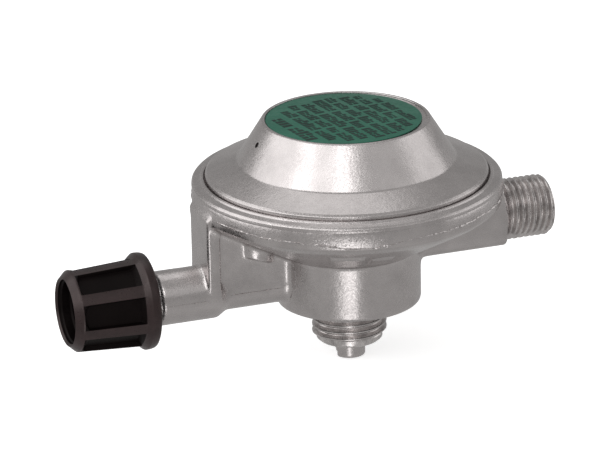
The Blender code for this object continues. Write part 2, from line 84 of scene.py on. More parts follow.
class Way(Enum):
    """Which way a turned piece's own axis points in the assembly."""

    UP = 0.0
    DOWN = math.pi
    OUTLET = math.pi / 2
    KNOB = -math.pi / 2


# ---------------------------------------------------------------- finishes


def set_stops(node: bpy.types.Node, stops: list[tuple[float, Shade]]) -> None:
    """Sets a colour ramp's stops.

    Args:
        node: The colour ramp.
        stops: Positions and colours, in order.
    """
    elements = node.color_ramp.elements
    while len(elements) < len(stops):
        elements.new(0.5)
    for element, (position, colour) in zip(elements, stops):
        element.position = position
        element.color = (*colour, 1.0)


class Nodes:
    """A short way to lay out a material's shader nodes."""

    def __init__(self, name: str) -> None:
        """Starts a material with an empty tree, a Principled shader and an output.

        Args:
            name: The material's name.
        """
        self.material = bpy.data.materials.new(name)
        self.material.use_nodes = True
        self.tree = self.material.node_tree
        self.tree.nodes.clear()
        self.shader = self.tree.nodes.new("ShaderNodeBsdfPrincipled")
        output = self.tree.nodes.new("ShaderNodeOutputMaterial")
        self.link(self.shader.outputs[0], output.inputs["Surface"])
        self.place = self.tree.nodes.new("ShaderNodeTexCoord").outputs["Object"]

    def link(self, source: bpy.types.NodeSocket, target: bpy.types.NodeSocket) -> None:
        """Joins two sockets."""
        self.tree.links.new(source, target)

    def set(self, **values: object) -> None:
        """Sets the shader's own sockets, by names with underscores for spaces."""
        for key, value in values.items():
            self.shader.inputs[key.replace("_", " ")].default_value = value

    def noise(self, waves: float, detail: float = 2.0, rough: float = 0.5) -> bpy.types.NodeSocket:
        """A noise pattern fixed to the object.

        Args:
            waves: Waves per metre.
            detail: How many finer layers it has.
            rough: How strong the finer layers are.

        Returns:
            The pattern's factor socket.
        """
        node = self.tree.nodes.new("ShaderNodeTexNoise")
        node.inputs["Scale"].default_value = waves
        node.inputs["Detail"].default_value = detail
        node.inputs["Roughness"].default_value = rough
        self.link(self.place, node.inputs["Vector"])
        return node.outputs["Fac"]

    def tint(self, pattern: bpy.types.NodeSocket, dark: Shade, light: Shade, margin: float = 0.35) -> None:
        """Colours the surface along a pattern.

        Args:
            pattern: The pattern's socket.
            dark: The colour of its low parts.
            light: The colour of its high parts.
            margin: It is all dark below this factor, and all light as far from 1.
        """
        node = self.tree.nodes.new("ShaderNodeValToRGB")
        self.link(pattern, node.inputs["Fac"])
        set_stops(node, [(margin, dark), (1 - margin, light)])
        self.link(node.outputs["Color"], self.shader.inputs["Base Color"])

    def roughen(self, pattern: bpy.types.NodeSocket, low: float, high: float) -> None:
        """Varies the roughness along a pattern.

        Args:
            pattern: The pattern's socket.
            low: The roughness of its low parts.
            high: The roughness of its high parts.
        """
        node = self.tree.nodes.new("ShaderNodeMapRange")
        self.link(pattern, node.inputs["Value"])
        for socket, value in (("From Min", 0.3), ("From Max", 0.7), ("To Min", low), ("To Max", high)):
            node.inputs[socket].default_value = value
        self.link(node.outputs["Result"], self.shader.inputs["Roughness"])

    def add(self, a: bpy.types.NodeSocket, b: bpy.types.NodeSocket, share: float) -> bpy.types.NodeSocket:
        """The sum of a and a share of b.

        Args:
            a: The first pattern's socket.
            b: The second pattern's socket.
            share: How much of b is added.

        Returns:
            The sum's socket.
        """
        node = self.tree.nodes.new("ShaderNodeMath")
        node.operation = "MULTIPLY_ADD"
        self.link(b, node.inputs[0])
        node.inputs[1].default_value = share
        self.link(a, node.inputs[2])
        return node.outputs[0]

    def relief(self, height: bpy.types.NodeSocket, depth_mm: float) -> None:
        """Raises the surface by a pattern of a real depth.

        Args:
            height: The pattern's socket.
            depth_mm: The height, in millimetres, of the pattern's full range.
        """
        node = self.tree.nodes.new("ShaderNodeBump")
        node.inputs["Distance"].default_value = depth_mm * MM
        self.link(height, node.inputs["Height"])
        self.link(node.outputs["Normal"], self.shader.inputs["Normal"])


@dataclass(frozen=True)
class BlastedZinc:
    """Die-cast zinc after shot blasting: satin, with a fine grain that sparkles in the light."""

    name: str = "blasted_zinc"
    dark: Shade = (0.475, 0.446, 0.442)
    light: Shade = (0.575, 0.541, 0.536)
    cloud_waves: float = 160.0
    grain_waves: float = 2400.0
    dimple_waves: float = 900.0
    roughness: float = 0.28
    grain_mm: float = 0.03

    def make(self) -> bpy.types.Material:
        """Makes the finish.

        Returns:
            The material.
        """
        nodes = Nodes(self.name)
        nodes.set(Metallic=1.0)
        nodes.tint(nodes.noise(self.cloud_waves, 3.0, 0.6), self.dark, self.light, 0.3)
        grain = nodes.noise(self.grain_waves, 2.0, 0.6)
        nodes.roughen(grain, self.roughness - 0.06, self.roughness + 0.08)
        nodes.relief(nodes.add(grain, nodes.noise(self.dimple_waves, 1.0), 0.8), self.grain_mm)
        return nodes.material


@dataclass(frozen=True)
class CutMetal:
    """Metal straight off the lathe or tap: fine tool lines and a cloudy tone that varies at random."""

    name: str
    dark: Shade
    light: Shade
    roughness: float
    cloud_waves: float = 420.0
    line_waves: float = 3800.0
    lines_mm: float = 0.006

    def make(self) -> bpy.types.Material:
        """Makes the finish.

        Returns:
            The material.
        """
        nodes = Nodes(self.name)
        nodes.set(Metallic=1.0)
        nodes.tint(nodes.noise(self.cloud_waves, 4.0, 0.65), self.dark, self.light, 0.32)
        fine = nodes.noise(self.line_waves, 2.0, 0.7)
        nodes.roughen(fine, self.roughness - 0.08, self.roughness + 0.12)
        nodes.relief(fine, self.lines_mm)
        return nodes.material


@dataclass(frozen=True)
class MouldedPlastic:
    """Black moulded plastic with a spark-eroded texture and a faint warm sheen."""

    name: str = "handled_plastic"
    dark: Shade = (0.0085, 0.0044, 0.0047)
    light: Shade = (0.0150, 0.0080, 0.0084)
    roughness: float = 0.33
    gloss: float = 0.5
    cloud_waves: float = 300.0
    spark_waves: float = 3000.0
    spark_mm: float = 0.006

    def make(self) -> bpy.types.Material:
        """Makes the finish.

        Returns:
            The material.
        """
        nodes = Nodes(self.name)
        nodes.set(Metallic=0.0, IOR=1.5)
        nodes.set(Specular_IOR_Level=self.gloss, Specular_Tint=(1.0, 0.86, 0.84, 1.0))
        nodes.tint(nodes.noise(self.cloud_waves, 3.0, 0.6), self.dark, self.light)
        fine = nodes.noise(self.spark_waves, 2.0, 0.6)
        nodes.roughen(fine, self.roughness - 0.07, self.roughness + 0.1)
        nodes.relief(fine, self.spark_mm)
        return nodes.material


@dataclass(frozen=True)
class SoftRubber:
    """Matte black sealing rubber."""

    name: str = "sealing_rubber"
    dark: Shade = (0.012, 0.012, 0.012)
    light: Shade = (0.03, 0.029, 0.028)
    cloud_waves: float = 500.0
    skin_waves: float = 2600.0
    skin_mm: float = 0.008

    def make(self) -> bpy.types.Material:
        """Makes the finish.

        Returns:
            The material.
        """
        nodes = Nodes(self.name)
        nodes.set(Metallic=0.0)
        cloud = nodes.noise(self.cloud_waves, 3.0)
        nodes.tint(cloud, self.dark, self.light)
        nodes.roughen(cloud, 0.6, 0.8)
        nodes.relief(nodes.noise(self.skin_waves), self.skin_mm)
        return nodes.material


@dataclass(frozen=True)
class PrintedFilm:
    """Printed plastic film, slightly uneven where it is stuck down."""

    name: str
    dark: Shade
    light: Shade
    roughness: float = 0.42
    gloss: float = 0.22
    cloud_waves: float = 140.0
    skin_waves: float = 1500.0
    waviness_mm: float = 0.02

    def make(self) -> bpy.types.Material:
        """Makes the finish.

        Returns:
            The material.
        """
        nodes = Nodes(self.name)
        nodes.set(Metallic=0.0, Specular_IOR_Level=self.gloss)
        cloud = nodes.noise(self.cloud_waves, 4.0, 0.6)
        nodes.tint(cloud, self.dark, self.light, 0.3)
        fine = nodes.noise(self.skin_waves, 2.0)
        nodes.roughen(fine, self.roughness - 0.06, self.roughness + 0.08)
        nodes.relief(nodes.add(cloud, fine, 0.15), self.waviness_mm)
        return nodes.material


@dataclass(frozen=True)
class StudioPaper:
    """The pale paper under the object."""

    name: str = "studio_paper"
    glow: float = 0.6

    def make(self) -> bpy.types.Material:
        """Makes the finish.

        Returns:
            The material.
        """
        nodes = Nodes(self.name)
        nodes.set(Base_Color=(0.86, 0.86, 0.86, 1.0), Roughness=1.0)
        nodes.set(Emission_Color=(1.0, 1.0, 1.0, 1.0), Emission_Strength=self.glow)
        return nodes.material


@dataclass
class Palette:
    """Every finish, made once."""

    zinc: bpy.types.Material = field(default_factory=lambda: BlastedZinc().make())
    steel: bpy.types.Material = field(
        default_factory=lambda: CutMetal("plated_steel", (0.44, 0.44, 0.45), (0.60, 0.60, 0.61), 0.3).make()
    )
    thread: bpy.types.Material = field(
        default_factory=lambda: CutMetal("cut_thread", (0.42, 0.397, 0.392), (0.74, 0.70, 0.69), 0.26).make()
    )
    brass: bpy.types.Material = field(
        default_factory=lambda: CutMetal("turned_brass", (0.52, 0.38, 0.17), (0.70, 0.54, 0.28), 0.3).make()
    )
    plastic: bpy.types.Material = field(default_factory=lambda: MouldedPlastic().make())
    # Darker than the knob's own plastic: its darker colour is painted shade for the knob's recesses and
    # inside; its higher roughness and lower gloss are real.
    matt_shaded_plastic: bpy.types.Material = field(
        default_factory=lambda: MouldedPlastic(
            "matt_shaded_plastic", (0.0010, 0.0005, 0.0005), (0.0020, 0.0011, 0.0011), 0.46, 0.1
        ).make()
    )
    rubber: bpy.types.Material = field(default_factory=lambda: SoftRubber().make())
    film: bpy.types.Material = field(
        default_factory=lambda: PrintedFilm("label_film", (0.018, 0.106, 0.070), (0.028, 0.138, 0.092)).make()
    )
    ink: bpy.types.Material = field(
        default_factory=lambda: PrintedFilm(
            "label_ink", (0.004, 0.014, 0.011), (0.012, 0.034, 0.026), 0.5
        ).make()
    )


# ---------------------------------------------------------------- mesh tools


def put_in_scene(
    name: str,
    vertices: np.ndarray,
    faces: list,
    material: bpy.types.Material,
    body: str,
    sharp_deg: float = 38.0,
) -> bpy.types.Object:
    """Makes a piece from points in millimetres, in the assembly's frame, and lets it ride on a body.

    Args:
        name: The piece's name.
        vertices: Its points, in millimetres.
        faces: Its faces, as lists of point numbers.
        material: Its finish.
        body: The CAD body it rides on.
        sharp_deg: Edges that turn more than this look sharp.

    Returns:
        The piece.
    """
    mesh = bpy.data.meshes.new(name)
    mesh.from_pydata((np.asarray(vertices, float) * MM).tolist(), [], faces)
    bm = bmesh.new()
    bm.from_mesh(mesh)
    bmesh.ops.remove_doubles(bm, verts=bm.verts, dist=SAME_PLACE)
    bmesh.ops.dissolve_degenerate(bm, edges=bm.edges, dist=NO_LENGTH)
    bmesh.ops.recalc_face_normals(bm, faces=bm.faces)
    bm.to_mesh(mesh)
    bm.free()
    return own(name, mesh, material, body, sharp_deg)


def own(
    name: str, mesh: bpy.types.Mesh, material: bpy.types.Material, body: str, sharp_deg: float
) -> bpy.types.Object:
    """Gives a finished mesh its object, finish and body.

    Args:
        name: The piece's name.
        mesh: Its mesh, in metres.
        material: Its finish.
        body: The CAD body it rides on.
        sharp_deg: Edges that turn more than this look sharp.

    Returns:
        The piece.
    """
    mesh.shade_smooth()
    mesh.set_sharp_from_angle(angle=math.radians(sharp_deg))
    mesh.materials.clear()
    mesh.materials.append(material)
    piece = bpy.data.objects.new(name, mesh)
    bpy.context.scene.collection.objects.link(piece)
    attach(piece, body)
    return piece


def rounded(corners: list[Corner], steps: int = 5) -> list[Point]:
    """Rounds a closed outline's corners.

    Args:
        corners: Each corner's two coordinates and its fillet radius.
        steps: How many chords a fillet has.

    Returns:
        The outline's points.
    """
    points: list[Point] = []
    count = len(corners)
    for k in range(count):
        before = Vector(corners[k - 1][:2])
        here = Vector(corners[k][:2])
        after = Vector(corners[(k + 1) % count][:2])
        radius = corners[k][2]
        if radius <= 0:
            points.append((here.x, here.y))
            continue
        a = (before - here).normalized()
        b = (after - here).normalized()
        half = math.acos(max(-1.0, min(1.0, a.dot(b)))) / 2
        # Two fillets on one side share it, each with just under half.
        reach = min(radius / math.tan(half), (before - here).length * 0.49, (after - here).length * 0.49)
        radius = reach * math.tan(half)
        centre = here + (a + b).normalized() * (radius / math.sin(half))
        start = here + a * reach - centre
        end = here + b * reach - centre
        turn = math.atan2(start.x * end.y - start.y * end.x, start.dot(end))
        for step in range(steps + 1):
            angle = turn * step / steps
            cos, sin = math.cos(angle), math.sin(angle)
            points.append(
                (centre.x + start.x * cos - start.y * sin, centre.y + start.x * sin + start.y * cos)
            )
    return points


def placed(points: np.ndarray, way: Way, at: Corner) -> np.ndarray:
    """Turns points from a piece's own axis along +Z to its way in the assembly.

    Args:
        points: Points in millimetres, N by 3.
        way: The way the axis points.
        at: Where the piece's own origin goes.

    Returns:
        The points in the assembly's frame.
    """
    turn = np.array(Matrix.Rotation(way.value, 3, "Y"))
    return points @ turn.T + np.array(at)


def polar(radius: np.ndarray | float, angle: np.ndarray, height: np.ndarray | float) -> np.ndarray:
    """Points round the Z axis, from radii, angles in radians and heights that fit together."""
    return np.stack(np.broadcast_arrays(radius * np.cos(angle), radius * np.sin(angle), height), -1)


def whole_turn(segments: int) -> np.ndarray:
    """Even angles once round, in radians."""
    return np.linspace(0, 2 * np.pi, segments, endpoint=False)


def ring_faces(rings: int, sides: int, closed: bool = True) -> list[list[int]]:
    """Faces between rings of points that come one after the other.

    Args:
        rings: How many rings there are.
        sides: How many points a ring has.
        closed: Whether the last ring joins the first.

    Returns:
        The faces.
    """
    faces = []
    for k in range(rings if closed else rings - 1):
        near, far = k * sides, (k + 1) % rings * sides
        for s in range(sides):
            t = (s + 1) % sides
            faces.append([near + s, near + t, far + t, far + s])
    return faces


def tube_faces(rings: int, sides: int) -> list[list[int]]:
    """Faces of a closed-ended tube whose points come ring by ring.

    Args:
        rings: How many rings it has.
        sides: How many points a ring has.

    Returns:
        The faces.
    """
    faces = ring_faces(rings, sides, closed=False)
    faces.append(list(range(sides))[::-1])
    faces.append([(rings - 1) * sides + s for s in range(sides)])
    return faces


def revolve(
    outline: list[Point], segments: int, at: Corner = (0, 0, 0)
) -> tuple[np.ndarray, list[list[int]]]:
    """Turns a closed outline about an upright axis. Points on it close up when doubles are merged.

    Args:
        outline: Radius and height of each point, in millimetres.
        segments: How many steps round.
        at: Where the axis starts.

    Returns:
        Points and faces.
    """
    profile = np.array(outline)
    points = polar(profile[:, :1], whole_turn(segments), profile[:, 1:])
    on_axis = profile[:, 0] < 1e-6
    faces = [
        face
        for face in ring_faces(len(profile), segments)
        if not (on_axis[face[0] // segments] and on_axis[face[2] // segments])
    ]
    return placed(points.reshape(-1, 3), Way.UP, at), faces


def wander(values: np.ndarray, seed: int, period: float) -> np.ndarray:
    """Smooth seeded noise along a line, from -1 to 1.

    Args:
        values: Places along the line.
        seed: Picks the noise.
        period: The distance between its bumps.

    Returns:
        The noise at each place.
    """
    source = np.random.default_rng(seed)
    place = np.asarray(values, float) / period
    base = np.floor(place).astype(int)
    low = base.min()
    table = source.uniform(-1, 1, base.max() - low + 3)
    share = place - base
    share = share * share * (3 - 2 * share)
    return table[base - low] * (1 - share) + table[base - low + 1] * share


# ---------------------------------------------------------------- casting


@dataclass(frozen=True)
class Places:
    """Places in the assembly at which distances are worked out, in millimetres."""

    x: np.ndarray
    y: np.ndarray
    z: np.ndarray

    def off_upright(self, x: float = 0.0) -> np.ndarray:
        """Distances from an upright line through the X axis."""
        return np.sqrt((self.x - x) ** 2 + self.y * self.y)

    def off_level(self, height: float) -> np.ndarray:
        """Distances from a line along X at a height."""
        return np.sqrt(self.y * self.y + (self.z - height) ** 2)

    def box(self, low: Corner, high: Corner, radius: float = 0.0) -> np.ndarray:
        """Signed distances to a box with rounded edges.

        Args:
            low: The box's lowest corner.
            high: Its highest corner.
            radius: Its edges' radius.

        Returns:
            The distance at each place.
        """
        gaps = [
            np.abs(c - (a + b) / 2) - (b - a) / 2 + radius
            for c, a, b in zip((self.x, self.y, self.z), low, high)
        ]
        outside = np.sqrt(sum(np.maximum(g, 0) ** 2 for g in gaps))
        inside = np.minimum(np.maximum(np.maximum(gaps[0], gaps[1]), gaps[2]), 0)
        return outside + inside - radius


@dataclass(frozen=True)
class Bore:
    """A way drilled along X: its axis's height, its radius, its middle and half its length."""

    height: float
    radius: float
    middle: float
    half: float

    def distance(self, at: Places) -> np.ndarray:
        """Signed distances to it."""
        return np.maximum(at.off_level(self.height) - self.radius, np.abs(at.x - self.middle) - self.half)


@dataclass(frozen=True)
class Pad:
    """A raised pad on the dish: its ends along a radius, half its width, its bearing and its height."""

    near: float
    far: float
    half: float
    degrees: float
    proud: float


def polygon_distance(u: np.ndarray, v: np.ndarray, outline: list[Point]) -> np.ndarray:
    """Signed distance to a closed outline in a plane, negative inside.

    Args:
        u: First coordinates.
        v: Second coordinates.
        outline: The outline's points.

    Returns:
        The distance at each place.
    """
    nearest = np.full(np.broadcast(u, v).shape, 1e9, np.float32)
    inside = np.zeros(nearest.shape, bool)
    for k in range(len(outline)):
        (ax, ay), (bx, by) = outline[k - 1], outline[k]
        ex, ey = bx - ax, by - ay
        square = ex * ex + ey * ey
        if square < 1e-12:
            continue
        wx, wy = u - ax, v - ay
        share = np.clip((wx * ex + wy * ey) / square, 0, 1)
        gap_x, gap_y = wx - ex * share, wy - ey * share
        np.minimum(nearest, gap_x * gap_x + gap_y * gap_y, out=nearest)
        crossing = (ay > v) != (by > v)
        side = (ex * wy - ey * wx > 0) == (by > ay)
        inside ^= crossing & side
    return np.where(inside, -np.sqrt(nearest), np.sqrt(nearest)).astype(np.float32)


def blended(a: np.ndarray, b: np.ndarray, fillet: float) -> np.ndarray:
    """The union of two solids with a fillet where they meet.

    Args:
        a: Distances to one solid.
        b: Distances to the other.
        fillet: About the fillet's size.

    Returns:
        Distances to the union.
    """
    share = np.clip(0.5 + 0.5 * (b - a) / fillet, 0, 1)
    return b + (a - b) * share - fillet * share * (1 - share)


def common(*solids: np.ndarray) -> np.ndarray:
    """Distances to what all solids share.

    Args:
        solids: Distances to each solid.

    Returns:
        Distances to the part in all of them.
    """
    shape = solids[0]
    for other in solids[1:]:
        shape = np.maximum(shape, other)
    return shape


def union(*solids: np.ndarray) -> np.ndarray:
    """Distances to all solids together.

    Args:
        solids: Distances to each solid.

    Returns:
        Distances to the nearest of them.
    """
    shape = solids[0]
    for other in solids[1:]:
        shape = np.minimum(shape, other)
    return shape


@dataclass
class Casting:
    """The die-cast body, shaped as one field of distances so that its joins have real casting fillets.

    Distances to faces that lean are scaled by about the lean's cosine, so that they stay nearly true.
    """

    hub_radius: float = 15.45
    hub_top: float = 12.3
    dish_foot: float = 12.35
    dish_slope: float = 0.559
    dish_cosine: float = 0.873
    rim_radius: float = 32.9
    web_half: float = 4.32
    web_top: float = 23.2
    column_face: float = -33.3
    column_back: float = -30.4
    column_half: float = 5.75
    column_top: float = 24.1
    column_edge: float = 23.7
    boss_middle: float = -21.7
    boss_radius: float = 5.8
    boss_squeeze: float = 1.22
    boss_top: float = 20.5
    duct_radius: float = 4.45
    neck_radius: float = 5.8
    neck_end: float = 43.5
    collar_end: float = 44.7
    block_end: float = 33.95
    block_half: float = 7.0
    block_bottom: float = 8.7
    block_top: float = 24.4
    outlet_radius: float = 3.6
    lever_pivot: Point = (-8.0, 13.4)
    riser_x: float = -29.6
    riser_radius: float = 1.25
    bores: tuple[Bore, ...] = (
        Bore(VALVE_AXIS, 1.25, -15, 13),
        Bore(JET_AXIS, 1.2, -25.3, 4.4),
        Bore(JET_AXIS, 2.6, -17.5, 4.5),
    )
    pads: tuple[Pad, ...] = (Pad(19.6, 28.3, 3.5, 249.6, 0.6), Pad(20.2, 25.4, 2.3, 266.5, 0.45))
    voxel: float = 0.3
    quick_voxel: float = 0.45
    layers: int = 8
    field_reach: float = 3.0
    low: Corner = (-45.6, -34.2, -1.2)
    high: Corner = (36.6, 34.2, 29.6)

    def dish_outline(self) -> list[Point]:
        """Radius and height along hub, dish and rim.

        Returns:
            The outline's points.
        """
        return rounded(
            [
                (0, 0, 0),
                (self.hub_radius, 0, 0.7),
                (self.hub_radius, self.hub_top, 0.7),
                (31.3, 21.2, 1.2),
                (self.rim_radius, 22.6, 0.9),
                (self.rim_radius + 0.03, 25.3, 0.5),
                (self.rim_radius - 0.28, 27.2, 0.2),
                (30.2, 27.2, 0),
                (0, 27.2, 0),
            ],
            3,
        )

    def duct_outline(self) -> list[Point]:
        """Radius and place along gas duct, taper and neck, on the valve's axis.

        Returns:
            The outline's points.
        """
        return rounded(
            [
                (0, 8, 0),
                (self.duct_radius, 8, 0),
                (self.duct_radius, 28.4, 0.6),
                (self.neck_radius, 30.7, 0.6),
                (self.neck_radius, self.neck_end - 0.5, 0.5),
                (self.neck_radius - 0.5, self.neck_end, 0.2),
                (self.neck_radius - 0.55, self.collar_end, 0.15),
                (0, self.collar_end, 0),
            ],
            3,
        )

    def arm(self, at: Places) -> np.ndarray:
        """Distances to the arm towards the knob: web, column, the boss round the jet, duct and neck.

        Args:
            at: The places.

        Returns:
            The distance at each place.
        """
        web = at.box((-31.5, -self.web_half, VALVE_AXIS), (-8, self.web_half, self.web_top))
        column = at.box(
            (self.column_face, -self.column_half, VALVE_AXIS - 0.5),
            (self.column_back, self.column_half, self.column_top),
            0.25,
        )
        # The column's top falls outwards, half a millimetre a millimetre, down to its outer edge.
        column = np.maximum(column, (-(at.x - self.column_face) * 0.5 + (at.z - self.column_edge)) * 0.9)
        squeezed = np.sqrt((self.boss_squeeze * (at.x - self.boss_middle)) ** 2 + at.y * at.y)
        boss = common(
            (squeezed - self.boss_radius) * 0.87,
            (13.6 - 0.35 * (at.x + 23.0) - at.z) * 0.94,
            at.z - self.boss_top,
        )
        duct = polygon_distance(at.off_level(VALVE_AXIS), -at.x, self.duct_outline())
        return union(blended(blended(web, column, 0.2), boss, 0.3), duct)

    def outlet_block(self, at: Places) -> np.ndarray:
        """Distances to the outlet's block and the short collar before its thread.

        Args:
            at: The places.

        Returns:
            The distance at each place.
        """
        block = common(
            at.box((6, -self.block_half, self.block_bottom), (44, self.block_half, 36), 2.3),
            at.z - self.block_top,
            at.x - self.block_end,
            (at.x - self.block_end + 0.14 * (at.z - 16.0)) * 0.99,
        )
        collar = np.maximum(at.off_level(OUTLET_AXIS) - 6.3, np.abs(at.x - 33.2) - 1.5)
        return blended(block, collar, 1.0)

    def pad(self, at: Places, pad: Pad) -> np.ndarray:
        """Distances to one pad, which follows the dish's slope.

        Args:
            at: The places.
            pad: The pad.

        Returns:
            The distance at each place.
        """
        cos, sin = math.cos(math.radians(pad.degrees)), math.sin(math.radians(pad.degrees))
        along, aside = at.x * cos + at.y * sin, -at.x * sin + at.y * cos
        slope = self.dish_foot + (along - self.hub_radius) * self.dish_slope
        above = (at.z - slope) * self.dish_cosine
        return common(
            np.abs(aside) - pad.half, pad.near - along, along - pad.far, -pad.proud - above, above - 1.0
        )

    def outside(self, at: Places) -> np.ndarray:
        """Distances to the casting's outer shape.

        Args:
            at: The places.

        Returns:
            The distance at each place.
        """
        dish = polygon_distance(at.off_upright(), at.z, self.dish_outline())
        shape = blended(blended(dish, self.arm(at), 1.4), self.outlet_block(at), 1.2)
        return union(shape, *(self.pad(at, pad) for pad in self.pads))

    def chamber(self, at: Places) -> np.ndarray:
        """Distances to the room under the diaphragm, round the jet's boss and the lever's two lugs.

        Args:
            at: The places.

        Returns:
            The distance at each place.
        """
        room = polygon_distance(
            at.off_upright(),
            at.z,
            [
                (0, 10.3),
                (12.8, 10.3),
                (12.8, 13.6),
                (26.0, 21.8),
                (26.0, 25.0),
                (31.1, 25.0),
                (31.1, 27.15),
                (30.25, 27.4),
                (30.25, 31),
                (0, 31),
            ],
        )
        boss = Bore(JET_AXIS, 4.0, -19, 5).distance(at)
        lugs = common(
            np.abs(np.abs(at.y) - 4.0) - 0.9, np.abs(at.x - self.lever_pivot[0]) - 1.6, at.z - 15
        )
        return np.maximum(room, -union(boss, lugs))

    def hollow(self, at: Places) -> np.ndarray:
        """Distances to everything cut out of the casting.

        Args:
            at: The places.

        Returns:
            The distance at each place.
        """
        socket = polygon_distance(
            at.off_upright(),
            at.z,
            [(0, -2), (11.2, -2), (11.2, 1.2), (7.1, 1.2), (7.1, 4.3), (5, 4.3), (5, 7.9), (0, 7.9)],
        )
        valve_bore = polygon_distance(
            at.off_level(VALVE_AXIS),
            -at.x,
            [(0, 27.6), (3.0, 27.6), (3.0, 39.0), (4.05, 39.0), (4.05, 46), (0, 46)],
        )
        riser = np.maximum(at.off_upright(self.riser_x) - self.riser_radius, np.abs(at.z - 12.9) - 5.8)
        outlet = np.maximum(at.off_level(OUTLET_AXIS) - self.outlet_radius, 11 - at.x)
        pivot_x, pivot_z = self.lever_pivot
        pin = np.maximum(np.sqrt((at.x - pivot_x) ** 2 + (at.z - pivot_z) ** 2) - 0.85, np.abs(at.y) - 6)
        drilled = (bore.distance(at) for bore in self.bores)
        return union(self.chamber(at), socket, valve_bore, riser, outlet, pin, *drilled)

    def field(self) -> np.ndarray:
        """The casting's distances on a grid, softened by one voxel as blasting does.

        Returns:
            The distances, by x, y and z.
        """
        axes = [
            np.arange(a, b, self.voxel, dtype=np.float32) for a, b in zip(self.low, self.high)
        ]
        slabs = []
        for start in range(0, len(axes[2]), self.layers):
            heights = axes[2][start : start + self.layers]
            at = Places(*np.meshgrid(axes[0], axes[1], heights, indexing="ij"))
            slabs.append(np.maximum(self.outside(at), -self.hollow(at)).astype(np.float32))
        grid = np.concatenate(slabs, 2)
        for axis in range(3):
            grid = 0.5 * grid + 0.25 * (np.roll(grid, 1, axis) + np.roll(grid, -1, axis))
        return grid

    def build(self, palette: Palette) -> bpy.types.Object:
        """Makes the casting, in place of the CAD body.

        Args:
            palette: The finishes.

        Returns:
            The piece.
        """
        grid = openvdb.FloatGrid()
        grid.background = self.field_reach
        field_clipped = np.clip(self.field(), -self.field_reach, self.field_reach)
        grid.copyFromArray(field_clipped.astype(np.float64))
        points, triangles, quads = grid.convertToPolygons(0.0, 0.02)
        points = points * self.voxel + np.array(self.low)
        faces = [list(map(int, f)) for f in triangles] + [list(map(int, f)) for f in quads]
        piece = put_in_scene("casting", points, faces, palette.zinc, HOUSING, 60.0)
        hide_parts("body")
        return piece


@dataclass
class RolledLip:
    """The rim's turned edge: a thin lip round the bonnet and a shoulder on top of the ring."""

    radius: float = 32.95
    segments: int = 240

    def build(self, palette: Palette) -> bpy.types.Object:
        """Makes the lip.

        Args:
            palette: The finishes.

        Returns:
            The piece.
        """
        section = rounded(
            [
                (30.32, 26.9, 0),
                (30.32, 28.22, 0.14),
                (30.85, 28.22, 0.16),
                (31.15, 27.84, 0.2),
                (32.45, 27.62, 0.25),
                (self.radius - 0.1, 27.2, 0.25),
                (self.radius - 0.04, 26.5, 0.1),
                (self.radius - 0.35, 26.35, 0),
                (31.3, 26.9, 0),
            ],
            4,
        )
        points, faces = revolve(section, self.segments)
        return put_in_scene("rolled_lip", points, faces, palette.zinc, HOUSING, 40.0)


@dataclass
class GateScar:
    """The rough patch on the ring's front where the casting's gate was broken off."""

    radius: float = 32.86
    first: float = 233.0
    last: float = 268.0
    low: float = 23.3
    high: float = 25.45
    columns: int = 120
    rows: int = 14
    roughness: float = 0.13
    waviness: float = 0.12

    def build(self, palette: Palette) -> bpy.types.Object:
        """Makes the scar as a thin closed skin, rough outside.

        Args:
            palette: The finishes.

        Returns:
            The piece.
        """
        source = np.random.default_rng(41)
        across = np.linspace(0, 1, self.columns)
        down = np.linspace(0, 1, self.rows)
        edge = np.minimum(1, 7 * np.minimum(across, 1 - across))[:, None]
        edge = edge * np.minimum(1, 5 * np.minimum(down, 1 - down))[None]
        rough = source.uniform(0.0, self.roughness, (self.columns, self.rows)) * edge
        angle = np.radians(self.first + (self.last - self.first) * across)[:, None]
        height = self.low + (self.high - self.low) * down[None]
        sway = wander(across * 60, 43, 2.0)[:, None] * (1 - np.abs(2 * down - 1))[None]
        height = height + self.waviness * sway
        outer = self.radius - 0.04 + rough
        inner = np.full_like(outer, self.radius - 0.5)
        skins = [polar(radius, angle, height).reshape(-1, 3) for radius in (outer, inner)]
        faces = []
        base = self.columns * self.rows
        for c in range(self.columns - 1):
            for r in range(self.rows - 1):
                near, far = c * self.rows + r, (c + 1) * self.rows + r
                quad = [near, far, far + 1, near + 1]
                faces.append(quad)
                faces.append([base + k for k in quad[::-1]])
        loop = [c * self.rows for c in range(self.columns)]
        loop += [(self.columns - 1) * self.rows + r for r in range(1, self.rows)]
        loop += [c * self.rows + self.rows - 1 for c in range(self.columns - 2, -1, -1)]
        loop += [r for r in range(self.rows - 2, 0, -1)]
        for a, b in zip(loop, loop[1:] + loop[:1]):
            faces.append([a, b, base + b, base + a])
        points = np.concatenate(skins)
        return put_in_scene("gate_scar", points, faces, palette.zinc, HOUSING, 20.0)


